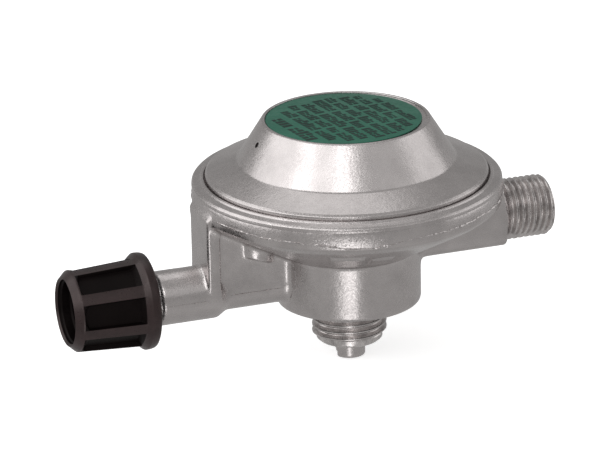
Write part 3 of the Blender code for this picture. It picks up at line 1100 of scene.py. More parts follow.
@dataclass
class FlashLines:
    """Trimmed flash where the die's halves met: thin ragged beads that catch the light."""

    step: float = 0.22
    sides: int = 5

    def lines(self) -> list[tuple[np.ndarray, float, int]]:
        """Each bead's path, its mean radius and its seed.

        Returns:
            The beads.
        """
        paths = []
        degrees = np.arange(194.0, 343.0, 0.38)
        sag = wander(degrees, 5, 9.0) * 0.16 + wander(degrees, 6, 2.6) * 0.1
        height = 24.15 - 1.0 * np.exp(-(((degrees - 256.0) / 16.0) ** 2)) + sag
        turn = np.radians(degrees)
        rim = polar(Casting.rim_radius + 0.02, turn, height)
        paths.append((rim, 0.2, 11))
        paths.append((rim * np.array([1, -1, 1]), 0.13, 12))
        for side in (-1, 1):
            x = np.arange(-42.6, -33.4, self.step)
            neck = np.stack([x, side * np.full_like(x, Casting.neck_radius), np.full_like(x, VALVE_AXIS)], -1)
            paths.append((neck, 0.06, 17 + side))
            x = np.arange(-30.2, -15.4, self.step)
            duct = np.full_like(x, Casting.duct_radius - 0.02)
            web = np.stack([x, side * duct, np.full_like(x, VALVE_AXIS)], -1)
            paths.append((web, 0.08, 21 + side))
            z = np.arange(3.4, 12.2, self.step)
            y = np.interp(z, (3.4, 5.6, 6.2, 8.0, 10.5, 12.2), (4.5, 5.5, 6.5, 6.3, 5.9, 5.1))
            out = np.sqrt(Casting.hub_radius**2 - y**2)
            paths.append((np.stack([-out - 0.02, side * y, z], -1), 0.2, 25 + side))
            z = np.arange(12.9, 15.8, self.step)
            bar = np.stack([np.full_like(z, -19.4), side * np.full_like(z, 4.9), z], -1)
            paths.append((bar, 0.34, 29 + side))
            z = np.arange(14.3, 17.6, self.step)
            hook_x = np.interp(z, (14.0, 16.1, 17.6), (-22.9, -24.0, -24.4))
            hook_y = np.interp(z, (14.0, 16.1, 17.6), (5.35, 4.75, 4.5))
            paths.append((np.stack([hook_x, side * hook_y, z], -1), 0.24, 33 + side))
        return paths

    def bead(self, path: np.ndarray, radius: float, seed: int) -> tuple[np.ndarray, list[list[int]]]:
        """One bead along a path, its thickness and place ragged.

        Args:
            path: Its points.
            radius: Its mean radius.
            seed: Picks its raggedness.

        Returns:
            Points and faces.
        """
        count = len(path)
        place = np.arange(count) * self.step
        source = np.random.default_rng(seed)
        thick = radius * (0.75 + 0.55 * wander(place, seed + 50, 1.3) + 0.35 * source.uniform(-1, 1, count))
        thick = np.maximum(thick, 0.3 * radius)
        thick[0] = thick[-1] = 0.01
        along = np.gradient(path, axis=0)
        along /= np.linalg.norm(along, axis=1)[:, None]
        up = np.cross(along, np.array([0.31, 0.17, 0.94]))
        up /= np.linalg.norm(up, axis=1)[:, None]
        side = np.cross(along, up)
        angle = whole_turn(self.sides)
        jitter = 1 + 0.35 * source.uniform(-1, 1, (count, self.sides))
        ring = path[:, None] + (thick[:, None] * jitter)[..., None] * (
            up[:, None] * np.cos(angle)[None, :, None] + side[:, None] * np.sin(angle)[None, :, None]
        )
        return ring.reshape(-1, 3), tube_faces(count, self.sides)

    def build(self, palette: Palette) -> bpy.types.Object:
        """Makes all beads as one piece.

        Args:
            palette: The finishes.

        Returns:
            The piece.
        """
        points: list[np.ndarray] = []
        faces: list[list[int]] = []
        base = 0
        for path, radius, seed in self.lines():
            ring, sides = self.bead(path, radius, seed)
            points.append(ring)
            faces += [[base + k for k in face] for face in sides]
            base += len(ring)
        return put_in_scene(
            "flash_lines", np.concatenate(points), faces, palette.zinc, HOUSING, 50.0
        )


# ---------------------------------------------------------------- bonnet and plate


@dataclass
class Bonnet:
    """The lid over the diaphragm: steep cone, shallow flange and a well for the adjusting screw."""

    top: float = 40.5
    recess_radius: float = 17.05
    edge_radius: float = 29.95
    vent_radius: float = 0.66
    vent_degrees: float = 180.0
    vent_rise: float = 0.66
    segments: int = 192
    longest_step: float = 1.2

    def outline(self) -> list[Point]:
        """Its section.

        Returns:
            Radius and height of its points.
        """
        return rounded(
            [
                (10.5, self.top - 0.45, 0),
                (self.recess_radius, self.top - 0.45, 0.1),
                (self.recess_radius + 0.05, self.top, 0.15),
                (17.75, self.top, 0.45),
                (23.25, 31.75, 1.1),
                (29.45, 29.36, 0.3),
                (self.edge_radius, 28.9, 0.25),
                (self.edge_radius + 0.02, 27.3, 0.1),
                (30.8, 27.0, 0.1),
                (30.8, 26.1, 0.1),
                (24.6, 26.1, 0.2),
                (24.6, 28.5, 0.5),
                (21.7, 29.9, 0.5),
                (16.5, 38.1, 0.5),
                (13.0, 38.1, 0.5),
                (13.0, 35.6, 0.2),
                (10.5, 35.6, 0),
            ],
            5,
        )

    def stepped(self) -> list[Point]:
        """The section with its long sides cut into short steps, so that its faces stay compact.

        Returns:
            Radius and height of its points.
        """
        outline = []
        section = self.outline()
        for a, b in zip(section, section[1:] + section[:1]):
            outline.append(a)
            if math.dist(a, b) > 2.0:
                steps = int(math.dist(a, b) / self.longest_step)
                outline += [
                    (a[0] + (b[0] - a[0]) * k / steps, a[1] + (b[1] - a[1]) * k / steps)
                    for k in range(1, steps)
                ]
        return outline

    def drill(self) -> bpy.types.Object:
        """The rod that cuts the vent, about square to the cone's side.

        Returns:
            The rod.
        """
        angle = math.radians(self.vent_degrees)
        outward = Vector((math.cos(angle), math.sin(angle), self.vent_rise)).normalized()
        middle = Vector((19.6 * math.cos(angle), 19.6 * math.sin(angle), 36.8))
        bm = bmesh.new()
        bmesh.ops.create_cone(
            bm, cap_ends=True, segments=24, radius1=self.vent_radius, radius2=self.vent_radius, depth=6
        )
        turn = Vector((0, 0, 1)).rotation_difference(outward).to_matrix().to_4x4()
        bmesh.ops.transform(bm, matrix=Matrix.Translation(middle) @ turn, verts=bm.verts)
        bmesh.ops.scale(bm, vec=(MM, MM, MM), verts=bm.verts)
        mesh = bpy.data.meshes.new("vent_drill")
        bm.to_mesh(mesh)
        bm.free()
        drill = bpy.data.objects.new("vent_drill", mesh)
        bpy.context.scene.collection.objects.link(drill)
        return drill

    def build(self, palette: Palette) -> bpy.types.Object:
        """Makes the bonnet with its vent.

        Args:
            palette: The finishes.

        Returns:
            The piece.
        """
        points, faces = revolve(self.stepped(), self.segments)
        turned = put_in_scene("bonnet_turned", points, faces, palette.zinc, HOUSING)
        drill = self.drill()
        modifier = turned.modifiers.new("vent", "BOOLEAN")
        modifier.operation = "DIFFERENCE"
        modifier.solver = "EXACT"
        modifier.object = drill
        bpy.context.view_layer.update()
        graph = bpy.context.evaluated_depsgraph_get()
        mesh = bpy.data.meshes.new_from_object(turned.evaluated_get(graph))
        bpy.data.objects.remove(drill)
        bpy.data.objects.remove(turned)
        piece = own("bonnet", mesh, palette.zinc, HOUSING, 30.0)
        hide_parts("lid")
        return piece


@dataclass
class RatingPlate:
    """The green plate, stuck a little off the middle, with rows of plain ink blocks."""

    radius: float = 16.5
    bottom: float = 40.15
    top: float = 40.36
    off_x: float = -0.42
    off_y: float = 0.16
    ink_radius: float = 15.3
    ink_lean: float = 0.15

    def build(self, palette: Palette) -> list[bpy.types.Object]:
        """Makes the plate and its ink.

        Args:
            palette: The finishes.

        Returns:
            The pieces.
        """
        outline = rounded(
            [
                (0, self.bottom, 0),
                (self.radius, self.bottom, 0.05),
                (self.radius, self.top, 0.08),
                (0, self.top, 0),
            ],
            3,
        )
        points, faces = revolve(outline, 160, at=(self.off_x, self.off_y, 0))
        plate = put_in_scene("rating_plate", points, faces, palette.film, HOUSING)
        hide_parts("label")
        return [plate, self.ink(palette)]

    def ink(self, palette: Palette) -> bpy.types.Object:
        """Rows of small blocks in place of print, along the plate's chords.

        Args:
            palette: The finishes.

        Returns:
            The piece.
        """
        source = np.random.default_rng(7)
        rows = [
            (-12.0, 3.1, 1.35),
            (-8.4, 2.4, 1.0),
            (-5.4, 2.3, 1.0),
            (-2.4, 2.5, 1.05),
            (0.6, 2.3, 1.0),
            (3.6, 2.4, 1.0),
            (6.5, 2.3, 1.0),
            (9.3, 2.1, 0.95),
            (12.0, 1.9, 0.9),
        ]
        points: list[Corner] = []
        faces: list[list[int]] = []
        for middle, tall, wide in rows:
            chord = math.sqrt(self.ink_radius**2 - middle**2) * source.uniform(0.86, 0.99)
            y = -chord
            word = source.integers(3, 8)
            while y < chord - wide:
                if word == 0:
                    y += wide * 0.8
                    word = source.integers(3, 9)
                    continue
                word -= 1
                self.block(points, faces, middle, y, tall, wide, source)
                y += wide * 1.1
        return put_in_scene("plate_ink", np.array(points), faces, palette.ink, HOUSING)

    def block(
        self,
        points: list[Corner],
        faces: list[list[int]],
        middle: float,
        y: float,
        tall: float,
        wide: float,
        source: np.random.Generator,
    ) -> None:
        """Adds one block of ink: a plain upright slab, sometimes short, sometimes split in two.

        Args:
            points: The points so far, added to.
            faces: The faces so far, added to.
            middle: The row's place along X.
            y: Where the block starts.
            tall: The row's height.
            wide: The block's width.
            source: The seeded noise.
        """
        low = middle - tall / 2
        spans = [(low, low + tall * source.choice([1.0, 0.72, 0.72, 0.86]))]
        if source.random() < 0.45:
            cut = low + tall * source.uniform(0.35, 0.6)
            spans = [(low, cut - 0.13 * tall), (cut, spans[0][1])]
        for a, b in spans:
            base = len(points)
            corners = [(a, y), (b, y), (b, y + wide * 0.82), (a, y + wide * 0.82)]
            for z in (self.top - 0.02, self.top + 0.025):
                for u, v in corners:
                    points.append((u + self.off_x - self.ink_lean * v, v + self.off_y + self.ink_lean * u, z))
            slab = ((0, 1, 2, 3), (4, 5, 6, 7), (0, 1, 5, 4), (1, 2, 6, 5), (2, 3, 7, 6), (3, 0, 4, 7))
            faces += [[base + k for k in face] for face in slab]


# ---------------------------------------------------------------- threads


@dataclass
class ThreadedEnd:
    """A threaded tube: a true helix on the outside, chamfered at its free end.

    Its bore is a path of radius and height from the free end back to the start.
    """

    name: str
    root: float
    crest: float
    pitch: float
    length: float
    hand: Hand
    inner: tuple[Point, ...]
    nose: float
    nose_radius: float
    way: Way
    at: Corner
    start_plain: float = 0.0
    end_plain: float = 0.0
    segments: int = 96
    per_turn: int = 14
    dents: float = 0.03
    seed: int = 3

    def flank(self, phase: np.ndarray) -> np.ndarray:
        """The thread's section: 0 at the root, 1 at the crest, both rounded.

        Args:
            phase: Turns along the thread.

        Returns:
            The height at each phase.
        """
        wave = 1 - np.abs(2 * (phase % 1.0) - 1)
        rise = np.clip((wave - 0.1) / 0.74, 0, 1)
        return rise * rise * (3 - 2 * rise) * 0.3 + rise * 0.7

    def surface(self) -> np.ndarray:
        """The thread's skin as rows that follow the helix, cut off square at both ends.

        Returns:
            The points, as rows by segments by 3.
        """
        rows = int(self.length / self.pitch * self.per_turn) + 2 * self.per_turn
        row = np.arange(-self.per_turn, rows)[:, None]
        turn = np.arange(self.segments)[None] / self.segments
        lead = row / self.per_turn + self.hand.value * turn
        height = np.clip(lead * self.pitch, 0, self.length)
        phase = height / self.pitch - self.hand.value * turn
        fade = np.clip((height - self.start_plain) / (0.5 * self.pitch), 0, 1)
        if self.end_plain > 0:
            fade = fade * np.clip((self.length - self.end_plain - height) / (0.3 * self.pitch), 0, 1)
        along = height.ravel() * 3 + turn.repeat(len(row), 0).ravel() * 40
        dent = self.dents * wander(along, self.seed, 2.0)
        radius = self.root + (self.crest - self.root) * self.flank(phase) * fade + dent.reshape(height.shape)
        limit = self.nose_radius + (self.length - height) * (self.crest - self.nose_radius) / self.nose
        radius = np.minimum(radius, np.maximum(limit, self.nose_radius))
        return polar(radius, 2 * np.pi * turn, height)

    def build(self, material: bpy.types.Material, slot: str, *replaced: str) -> bpy.types.Object:
        """Makes the threaded tube.

        Args:
            material: Its finish.
            slot: Not used.
            replaced: CAD nodes that it stands for.

        Returns:
            The piece.
        """
        skin = self.surface()
        rows, segments = skin.shape[:2]
        faces = []
        for r in range(rows - 1):
            for s in range(segments):
                if s + 1 < segments:
                    near = (r * segments + s + 1, (r + 1) * segments + s + 1)
                else:
                    # One turn on, the helix has climbed by a pitch.
                    low = r + self.hand.value * self.per_turn
                    if low < 0 or low + 1 >= rows:
                        continue
                    near = (low * segments, (low + 1) * segments)
                faces.append([r * segments + s, near[0], near[1], (r + 1) * segments + s])
        mesh = bpy.data.meshes.new(self.name)
        mesh.from_pydata(skin.reshape(-1, 3).tolist(), [], faces)
        bm = bmesh.new()
        bm.from_mesh(mesh)
        bmesh.ops.remove_doubles(bm, verts=bm.verts, dist=SAME_PLACE_MM)
        bmesh.ops.dissolve_degenerate(bm, edges=bm.edges, dist=SAME_PLACE_MM)
        self.close(bm)
        bmesh.ops.recalc_face_normals(bm, faces=bm.faces)
        turn = Matrix.Rotation(self.way.value, 4, "Y")
        place = Matrix.Translation(Vector(self.at)) @ turn
        bmesh.ops.transform(bm, matrix=Matrix.Scale(MM, 4) @ place, verts=bm.verts)
        bm.to_mesh(mesh)
        bm.free()
        piece = own(self.name, mesh, material, HOUSING, 42.0)
        if replaced:
            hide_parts(*replaced)
        return piece

    def close(self, bm: bmesh.types.BMesh) -> None:
        """Closes both open ends through the bore.

        Args:
            bm: The open skin, in millimetres.
        """
        loops = []
        for height, path in ((0.0, self.inner[-1:]), (self.length, self.inner[:-1])):
            edges = [
                e
                for e in bm.edges
                if e.is_boundary and all(abs(v.co.z - height) < 10 * SAME_PLACE_MM for v in e.verts)
            ]
            for radius, z in path:
                grown = bmesh.ops.extrude_edge_only(bm, edges=edges)["geom"]
                for vert in (g for g in grown if isinstance(g, bmesh.types.BMVert)):
                    flat = Vector((vert.co.x, vert.co.y)).normalized() * radius
                    vert.co = (flat.x, flat.y, z)
                edges = [g for g in grown if isinstance(g, bmesh.types.BMEdge) and g.is_boundary]
            loops.append(edges)
        bmesh.ops.bridge_loops(bm, edges=loops[0] + loops[1])


@dataclass
class ThrustPin:
    """The pin under the stud that pushes the cylinder's valve open, with a gas notch on one side."""

    radius: float = 3.33
    tip: float = -12.85
    shoulder: float = -9.15
    notch_degrees: float = 165.0
    notch_half: float = 0.42
    notch_depth: float = 1.1
    notch_top: float = -11.15
    bore_radius: float = 1.1
    socket_radius: float = 2.35
    socket_floor: float = -4.8
    segments: int = 72

    def build(self, palette: Palette) -> bpy.types.Object:
        """Makes the pin.

        Args:
            palette: The finishes.

        Returns:
            The piece.
        """
        heights = [self.tip, self.tip + 0.12, self.tip + 0.35, -11.9, -11.45, -11.3, self.notch_top]
        heights += [-10.9, -10.2, self.shoulder]
        rings = []
        angle = whole_turn(self.segments)
        # The notch is cut into the lower half, on the knob's side and a little to the back.
        aside = np.mod(angle - math.radians(self.notch_degrees) + np.pi, 2 * np.pi) - np.pi
        notch = self.notch_depth * np.exp(-((aside / self.notch_half) ** 4))
        for z in heights:
            inset = 0.45 if z == self.tip else 0.14 if z < self.tip + 0.2 else 0.0
            radius = np.full(self.segments, self.radius - inset)
            if z <= self.notch_top:
                radius = radius - notch
            rings.append(polar(radius, angle, z))
        rings.reverse()
        for radius, z in (
            (self.bore_radius, self.tip),
            (self.bore_radius, self.socket_floor),
            (self.socket_radius, self.socket_floor),
            (self.socket_radius, self.shoulder),
        ):
            rings.append(polar(radius, angle, z))
        points = np.concatenate(rings)
        faces = ring_faces(len(rings), self.segments)
        piece = put_in_scene("thrust_pin_turned", points, faces, palette.zinc, HOUSING, 40.0)
        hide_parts("thrust_pin")
        return piece


# ---------------------------------------------------------------- handwheel


@dataclass
class Handwheel:
    """The black knob: seven lands with flat-bottomed recesses between them, open in front."""

    rear: float = -45.0
    length: float = 18.1
    lobes: int = 7
    land_half: float = 7.7
    wall: float = 0.9
    first_land: float = 33.6
    slope_start: float = 2.9
    slope_length: float = 1.2
    arch_foot: float = 15.35
    arch_rise: float = 0.85

    def land_radius(self, height: float) -> float:
        """Radius of the uncut knob at a height above its rear.

        Args:
            height: The height above the rear.

        Returns:
            The radius.
        """
        table = (
            (0.0, 9.75),
            (0.12, 9.98),
            (0.4, 10.14),
            (1.0, 10.28),
            (1.9, 10.3),
            (2.05, 10.22),
            (2.9, 9.5),
            (3.1, 9.44),
            (16.35, 8.68),
            (16.6, 8.63),
            (16.75, 8.54),
            (17.95, 7.42),
            (18.04, 7.36),
            (self.length, 7.26),
        )
        return float(np.interp(height, [h for h, _ in table], [r for _, r in table]))

    def sides(self) -> np.ndarray:
        """Angles round the knob, closest together at the lands' edges.

        Returns:
            The angles, in radians.
        """
        half = 180.0 / self.lobes
        edge = self.land_half
        one = [0, 4.0, edge - 0.25, edge, edge + 0.15, edge + self.wall - 0.1, edge + self.wall + 0.15]
        one += [10.5, 12.5, 16.0, 21.0]
        lobe = sorted([-a for a in one if a > 0] + one + [half])
        return np.radians(np.concatenate([np.array(lobe) + k * 2 * half for k in range(self.lobes)]))

    def heights(self) -> list[float]:
        """Stations along the outside, closest together at the recesses' ends.

        Returns:
            The heights above the rear.
        """
        fine = [0.0, 0.12, 0.4, 0.7, 1.0, 1.5, 1.9, 2.05, 2.4, 2.9, 3.1, 3.5, 3.9, 4.1, 5.0]
        fine += [6.5, 8.0, 9.5, 11.0, 12.5, 14.0, 15.0, 15.2, 15.35, 15.5, 15.65, 15.8, 15.95, 16.1]
        fine += [16.2, 16.35, 16.6, 16.75, 17.35, 17.95, 18.04, self.length]
        return fine

    def outside(self, height: float, angle: np.ndarray) -> np.ndarray:
        """Radius at one station, recesses included.

        Args:
            height: The station.
            angle: The angles round it.

        Returns:
            The radius at each angle.
        """
        land = self.land_radius(height)
        half = 180.0 / self.lobes
        off = np.abs((np.degrees(angle) + half) % (2 * half) - half)
        flat = np.interp(height, (3.0, 16.0), (7.95, 7.45))
        floor = flat / np.cos(np.radians(half - off))
        into = np.clip((off - self.land_half) / self.wall, 0, 1)
        into = into * into * (3 - 2 * into)
        # The recess runs out on a slope at the back and on a steep arch in front.
        across = np.clip((off - self.land_half) / (half - self.land_half), 0, 1)
        arch = self.arch_foot + self.arch_rise * np.sin(across * np.pi / 2)
        behind = np.clip((height - self.slope_start) / self.slope_length, 0, 1)
        ends = np.minimum(behind, np.clip((arch - height) / 0.3 + 0.5, 0, 1))
        return land + (np.minimum(floor, land) - land) * into * ends

    def inside(self) -> list[Point]:
        """Radius and height of the stations from the front rim down into the knob and back by the bore.

        Returns:
            The stations, from the front rim inwards.
        """
        return rounded(
            [
                (6.95, self.length, 0.08),
                (6.82, 17.1, 0.08),
                (6.5, 16.8, 0.08),
                (6.5, 15.1, 0.08),
                (6.1, 14.8, 0.08),
                (5.85, 4.5, 0.4),
                (3.75, 4.5, 0.4),
                (3.55, 12.5, 0.25),
                (2.75, 12.6, 0.1),
                (2.7, 10.45, 0),
                (1.3, 10.45, 0),
                (1.3, 9.55, 0),
                (2.1, 9.5, 0),
                (2.1, 0.0, 0.1),
            ],
            3,
        )

    def build(self, palette: Palette) -> bpy.types.Object:
        """Makes the knob.

        Args:
            palette: The finishes.

        Returns:
            The piece.
        """
        angle = self.sides()
        # Local X points up once the axis lies along the knob's way.
        turned = angle + math.radians(self.first_land - 90)
        rings = [polar(self.outside(height, angle), turned, height) for height in self.heights()]
        rings += [polar(radius, turned, height) for radius, height in self.inside()]
        points = placed(np.concatenate(rings), Way.KNOB, (self.rear, 0, VALVE_AXIS))
        faces = ring_faces(len(rings), len(angle))
        piece = put_in_scene(
            "handwheel_shell", points, faces, palette.plastic, HANDWHEEL, 28.0
        )
        # The recesses and the inside get the darker plastic: painted shade, on top of a duller finish.
        self.dull_and_shade(piece, palette.matt_shaded_plastic)
        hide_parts("knob")
        return piece

    def dull_and_shade(self, piece: bpy.types.Object, material: bpy.types.Material) -> None:
        """Gives the recesses and the inside, which no hand rubs, a duller finish whose darker colour is
        painted shade.

        Args:
            piece: The knob.
            material: The duller finish, its darker colour painted shade.
        """
        piece.data.materials.append(material)
        lobe = 360.0 / self.lobes
        for face in piece.data.polygons:
            centre = face.center / MM
            height = self.rear - centre.x
            up, aside = centre.z - VALVE_AXIS, centre.y
            radius = math.hypot(up, aside)
            turn = math.degrees(math.atan2(aside, up)) - self.first_land + 90
            off = abs((turn + lobe / 2) % lobe - lobe / 2)
            hollow = 3.0 < height < 16.4 and off > self.land_half + 0.1
            # Faces in the recesses and inside take the darker colour, which is painted shade.
            if hollow or radius < self.land_radius(height) * 0.93:
                face.material_index = 1


# ---------------------------------------------------------------- works and studio


@dataclass
class SetSpring:
    """The set spring: a helix with closed ends, made at one length, though the real one shortens from below
    as the diaphragm lifts.
    """

    mean_radius: float = 8.6
    wire: float = 0.65
    low: float = 27.9
    high: float = 35.3
    turns: float = 5.0
    seat: float = 36.0
    lift: float = 1.0
    dead_turns: float = 0.75
    end_rise: float = 0.17
    per_turn: int = 30
    sides: int = 10

    def build(self, palette: Palette) -> bpy.types.Object:
        """Makes the spring.

        Args:
            palette: The finishes.

        Returns:
            The piece.
        """
        count = int(self.turns * self.per_turn) + 1
        share = np.linspace(0, 1, count)
        # The end turns lie almost flat, and the middle ones share the rest of the height.
        lead = np.clip((share * self.turns - self.dead_turns) / (self.turns - 2 * self.dead_turns), 0, 1)
        rise = self.end_rise * share + (1 - self.end_rise) * lead
        turn = 2 * np.pi * self.turns * share
        out = polar(1.0, turn, 0.0)
        centre = polar(self.mean_radius, turn, self.low + (self.high - self.low) * rise)
        around = whole_turn(self.sides)[None, :, None]
        up = np.array([0.0, 0.0, 1.0])
        rings = centre[:, None] + self.wire * (np.cos(around) * out[:, None] + np.sin(around) * up)
        points, faces = rings.reshape(-1, 3), tube_faces(count, self.sides)
        piece = put_in_scene("set_spring", points, faces, palette.steel, HOUSING, 60.0)
        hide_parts("main_spring")
        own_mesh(piece)
        return piece


@dataclass
class Diaphragm:
    """The moulded rubber disc: its middle rises with the plate, and its roll and rim stay clamped."""

    middle_height: float = 25.5
    thick: float = 0.8
    hole: float = 2.1
    roll_start: float = 17.4
    roll_end: float = 23.6
    roll_rise: float = 1.9
    rim: float = 30.8

    def build(self, palette: Palette) -> list[bpy.types.Object]:
        """Makes the middle and the roll.

        Args:
            palette: The finishes.

        Returns:
            The pieces.
        """
        half = self.thick / 2
        low, high = self.middle_height - half, self.middle_height + half
        disc = rounded(
            [
                (self.hole, low, 0),
                (self.roll_start, low, 0.1),
                (self.roll_start, high, 0.1),
                (self.hole, high, 0),
            ]
        )
        points, faces = revolve(disc, 96)
        middle = put_in_scene(
            "diaphragm_middle", points, faces, palette.rubber, "diaphragm_stack"
        )
        share = np.linspace(0, 1, 17)
        radius = self.roll_start + (self.roll_end - self.roll_start) * share
        crown = self.middle_height + self.roll_rise * np.sin(np.pi * share) ** 2
        line = [*zip(radius.tolist(), crown.tolist()), (self.rim, self.middle_height)]
        section = [(r, z - half) for r, z in line] + [(r, z + half) for r, z in reversed(line)]
        points, faces = revolve(section, 128)
        roll = put_in_scene("diaphragm_roll", points, faces, palette.rubber, HOUSING)
        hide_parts("diaphragm")
        return [middle, roll]


@dataclass
class Works:
    """The pieces inside, whose solids are right as they are: each gets its finish."""

    steel: tuple[str, ...] = (
        "diaphragm_plate",
        "support_washer",
        "stem_nut",
        "lever",
        "lever_pin",
        "strainer",
        "valve_spindle",
        "knob_screw",
    )
    brass: tuple[str, ...] = ("adjusting_screw", "inlet_jet", "gland_nut", "pad_holder")
    rubber: tuple[str, ...] = (
        "seat_disc",
        "inlet_seal",
        "gland_seal",
        "spindle_o_ring",
        "valve_pad",
    )
    zinc: tuple[str, ...] = ("diaphragm_stem",)

    def dress(self, palette: Palette) -> int:
        """Gives each kept solid its finish.

        Args:
            palette: The finishes.

        Returns:
            How many solids were dressed.
        """
        done = 0
        for names, material in (
            (self.steel, palette.steel),
            (self.brass, palette.brass),
            (self.rubber, palette.rubber),
            (self.zinc, palette.zinc),
        ):
            for name in names:
                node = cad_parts[name]
                for slot in node.material_slots:
                    slot.material = material
                if not node.material_slots:
                    node.data.materials.append(material)
                done += 1
        return done


def outward(turn: float, lift: float) -> Vector:
    """The way out to a place round the object, from its angles round from -Y and up, in radians."""
    return Vector((-math.sin(turn) * math.cos(lift), -math.cos(turn) * math.cos(lift), math.sin(lift)))


@dataclass(frozen=True)
class SoftBox:
    """An area light round the object.

    side is in degrees round from the camera, positive to the right, and lift in degrees above the
    horizon. wide, tall and away are in metres, and radiance is how bright its face is.
    """

    name: str
    side: float
    lift: float
    wide: float
    tall: float
    radiance: float
    away: float = 0.75
    aim_height: float = 0.015


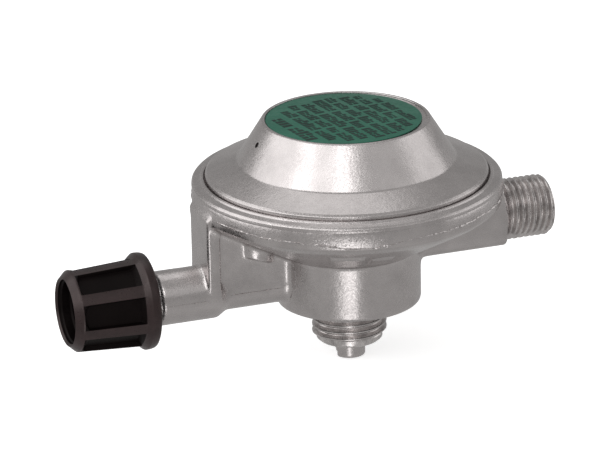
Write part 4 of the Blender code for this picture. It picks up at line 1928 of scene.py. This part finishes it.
@dataclass
class Studio:
    """Pale paper, soft boxes round the object and the camera."""

    azimuth: float = 20.344
    elevation: float = 21.02
    roll: float = -0.968
    distance: float = 0.928
    lens_mm: float = 256.48
    aim_right: float = -0.010078
    aim_up: float = 0.016567
    floor_drop: float = 0.0131
    floor_half: float = 6.0
    sky_stops: tuple[Point, ...] = (
        (0.0, 0.44), (0.16, 0.50), (0.33, 0.44), (0.5, 0.42), (0.66, 0.34), (0.85, 0.42), (1.0, 0.5)
    )
    soft_boxes: tuple[SoftBox, ...] = (
        SoftBox("key_left", -86, 25, 0.9, 0.87, 1.2),
        SoftBox("key_front", -30, 37, 0.75, 0.6, 1.28),
        SoftBox("fill_right", 44, 36, 0.75, 0.42, 0.3),
        SoftBox("front_high", -3, 42, 0.2, 0.36, 1.4),
        SoftBox("front_low", 1, -27, 0.27, 0.36, 1.9),
        SoftBox("right_back", 103, 16, 0.6, 0.66, 0.75),
        SoftBox("overhead", 196, 64, 0.5, 0.42, 0.7),
    )

    def axes(self) -> tuple[Vector, Vector, Vector]:
        """The camera's right, up and back directions.

        Returns:
            The three directions.
        """
        turn, lift, roll = (math.radians(v) for v in (self.azimuth, self.elevation, self.roll))
        back = outward(turn, lift)
        right = Vector((math.cos(turn), -math.sin(turn), 0))
        up = back.cross(right)
        return (
            right * math.cos(roll) + up * math.sin(roll),
            -right * math.sin(roll) + up * math.cos(roll),
            back,
        )

    def camera(self) -> bpy.types.Object:
        """Places the camera, aimed so that the object sits where it should in the frame.

        Returns:
            The camera.
        """
        right, up, back = self.axes()
        view = (-back + right * self.aim_right + up * self.aim_up).normalized()
        right = (right - view * right.dot(view)).normalized()
        up = right.cross(view)
        made = bpy.data.objects.new("camera", bpy.data.cameras.new("camera"))
        made.data.sensor_width = 36.0
        made.data.lens = self.lens_mm
        made.data.clip_start = 0.01
        made.data.clip_end = 20.0
        made.matrix_world = Matrix.Translation(back * self.distance) @ Matrix(
            (right, up, -view)
        ).transposed().to_4x4()
        bpy.context.scene.collection.objects.link(made)
        bpy.context.scene.camera = made
        return made

    def floor(self) -> bpy.types.Object:
        """Lays the paper. Metal doesn't mirror it, so that the soft boxes alone draw the shapes.

        Returns:
            The paper.
        """
        mesh = bpy.data.meshes.new("paper")
        size = self.floor_half
        corners = [(-size, -size), (size, -size), (size, size), (-size, size)]
        mesh.from_pydata([(x, y, -self.floor_drop) for x, y in corners], [], [(0, 1, 2, 3)])
        mesh.materials.append(StudioPaper().make())
        made = bpy.data.objects.new("paper", mesh)
        bpy.context.scene.collection.objects.link(made)
        made.visible_glossy = False
        made.visible_shadow = False
        return made

    def hang(self, box: SoftBox) -> None:
        """Adds a soft box, which the camera doesn't see.

        Args:
            box: What it is and where it hangs.
        """
        out = outward(math.radians(self.azimuth - box.side), math.radians(box.lift))
        data = bpy.data.lights.new(box.name, "AREA")
        data.shape = "RECTANGLE"
        data.size = box.wide
        data.size_y = box.tall
        data.energy = box.radiance * box.wide * box.tall * math.pi
        made = bpy.data.objects.new(box.name, data)
        made.rotation_euler = out.to_track_quat("Z", "Y").to_euler()
        made.location = out * box.away + Vector((0, 0, box.aim_height))
        made.visible_camera = False
        bpy.context.scene.collection.objects.link(made)

    def sky(self) -> None:
        """The room's own soft light: pale above, darker at the sides and below."""
        world = bpy.data.worlds.new("room")
        world.use_nodes = True
        tree = world.node_tree
        tree.nodes.clear()
        around = tree.nodes.new("ShaderNodeTexCoord")
        split = tree.nodes.new("ShaderNodeSeparateXYZ")
        span = tree.nodes.new("ShaderNodeMapRange")
        span.inputs["From Min"].default_value = -1.0
        ramp = tree.nodes.new("ShaderNodeValToRGB")
        shade = tree.nodes.new("ShaderNodeBackground")
        output = tree.nodes.new("ShaderNodeOutputWorld")
        tree.links.new(around.outputs["Generated"], split.inputs[0])
        tree.links.new(split.outputs["Z"], span.inputs["Value"])
        tree.links.new(span.outputs["Result"], ramp.inputs["Fac"])
        tree.links.new(ramp.outputs["Color"], shade.inputs["Color"])
        tree.links.new(shade.outputs[0], output.inputs[0])
        set_stops(ramp, [(place, (grey, grey * 0.995, grey * 0.985)) for place, grey in self.sky_stops])
        bpy.context.scene.world = world

    def build(self) -> None:
        """Sets everything up."""
        self.camera()
        self.floor()
        self.sky()
        for box in self.soft_boxes:
            self.hang(box)
        bpy.context.scene.view_settings.view_transform = "Standard"


def outlet_end() -> ThreadedEnd:
    """The outlet's G 1/4 left-hand thread, with its bore.

    Returns:
        The threaded end.
    """
    return ThreadedEnd(
        name="outlet_thread",
        root=5.75,
        crest=6.58,
        pitch=1.337,
        length=11.3,
        hand=Hand.LEFT,
        inner=((4.5, 11.3), (3.6, 10.4), (3.6, 0.0)),
        nose=0.9,
        nose_radius=5.9,
        way=Way.OUTLET,
        at=(34.0, 0, OUTLET_AXIS),
        start_plain=0.5,
    )


def stud_end() -> ThreadedEnd:
    """The M16 x 1.5 stud that screws into the cylinder's valve.

    Returns:
        The threaded end.
    """
    return ThreadedEnd(
        name="stud_thread",
        root=7.08,
        crest=7.99,
        pitch=1.5,
        length=13.25,
        hand=Hand.RIGHT,
        inner=((2.5, 13.25), (2.5, 8.7), (1.6, 8.7), (1.6, 0.0)),
        nose=1.3,
        nose_radius=6.5,
        way=Way.DOWN,
        at=(0, 0, 4.2),
        start_plain=4.3,
        end_plain=1.35,
        segments=120,
        seed=9,
    )


def main() -> None:
    """Builds the regulator piece by piece, then the studio."""
    logging.basicConfig(level=logging.INFO, format="%(name)s: %(message)s")
    palette = Palette()
    shell = (Casting(), RolledLip(), GateScar(), FlashLines(), Bonnet())
    pieces = [maker.build(palette) for maker in shell]
    pieces += RatingPlate().build(palette)
    pieces.append(outlet_end().build(palette.thread, "cast_zinc"))
    pieces.append(stud_end().build(palette.thread, "thread_steel", "inlet_stud"))
    pieces += [maker.build(palette) for maker in (ThrustPin(), Handwheel(), SetSpring())]
    pieces += Diaphragm().build(palette)
    for piece in pieces:
        log.info("%s has %d points", piece.name, len(piece.data.vertices))
    log.info("%d kept solids dressed", Works().dress(palette))
    Studio().build()


if __name__ == "__main__":
    main()
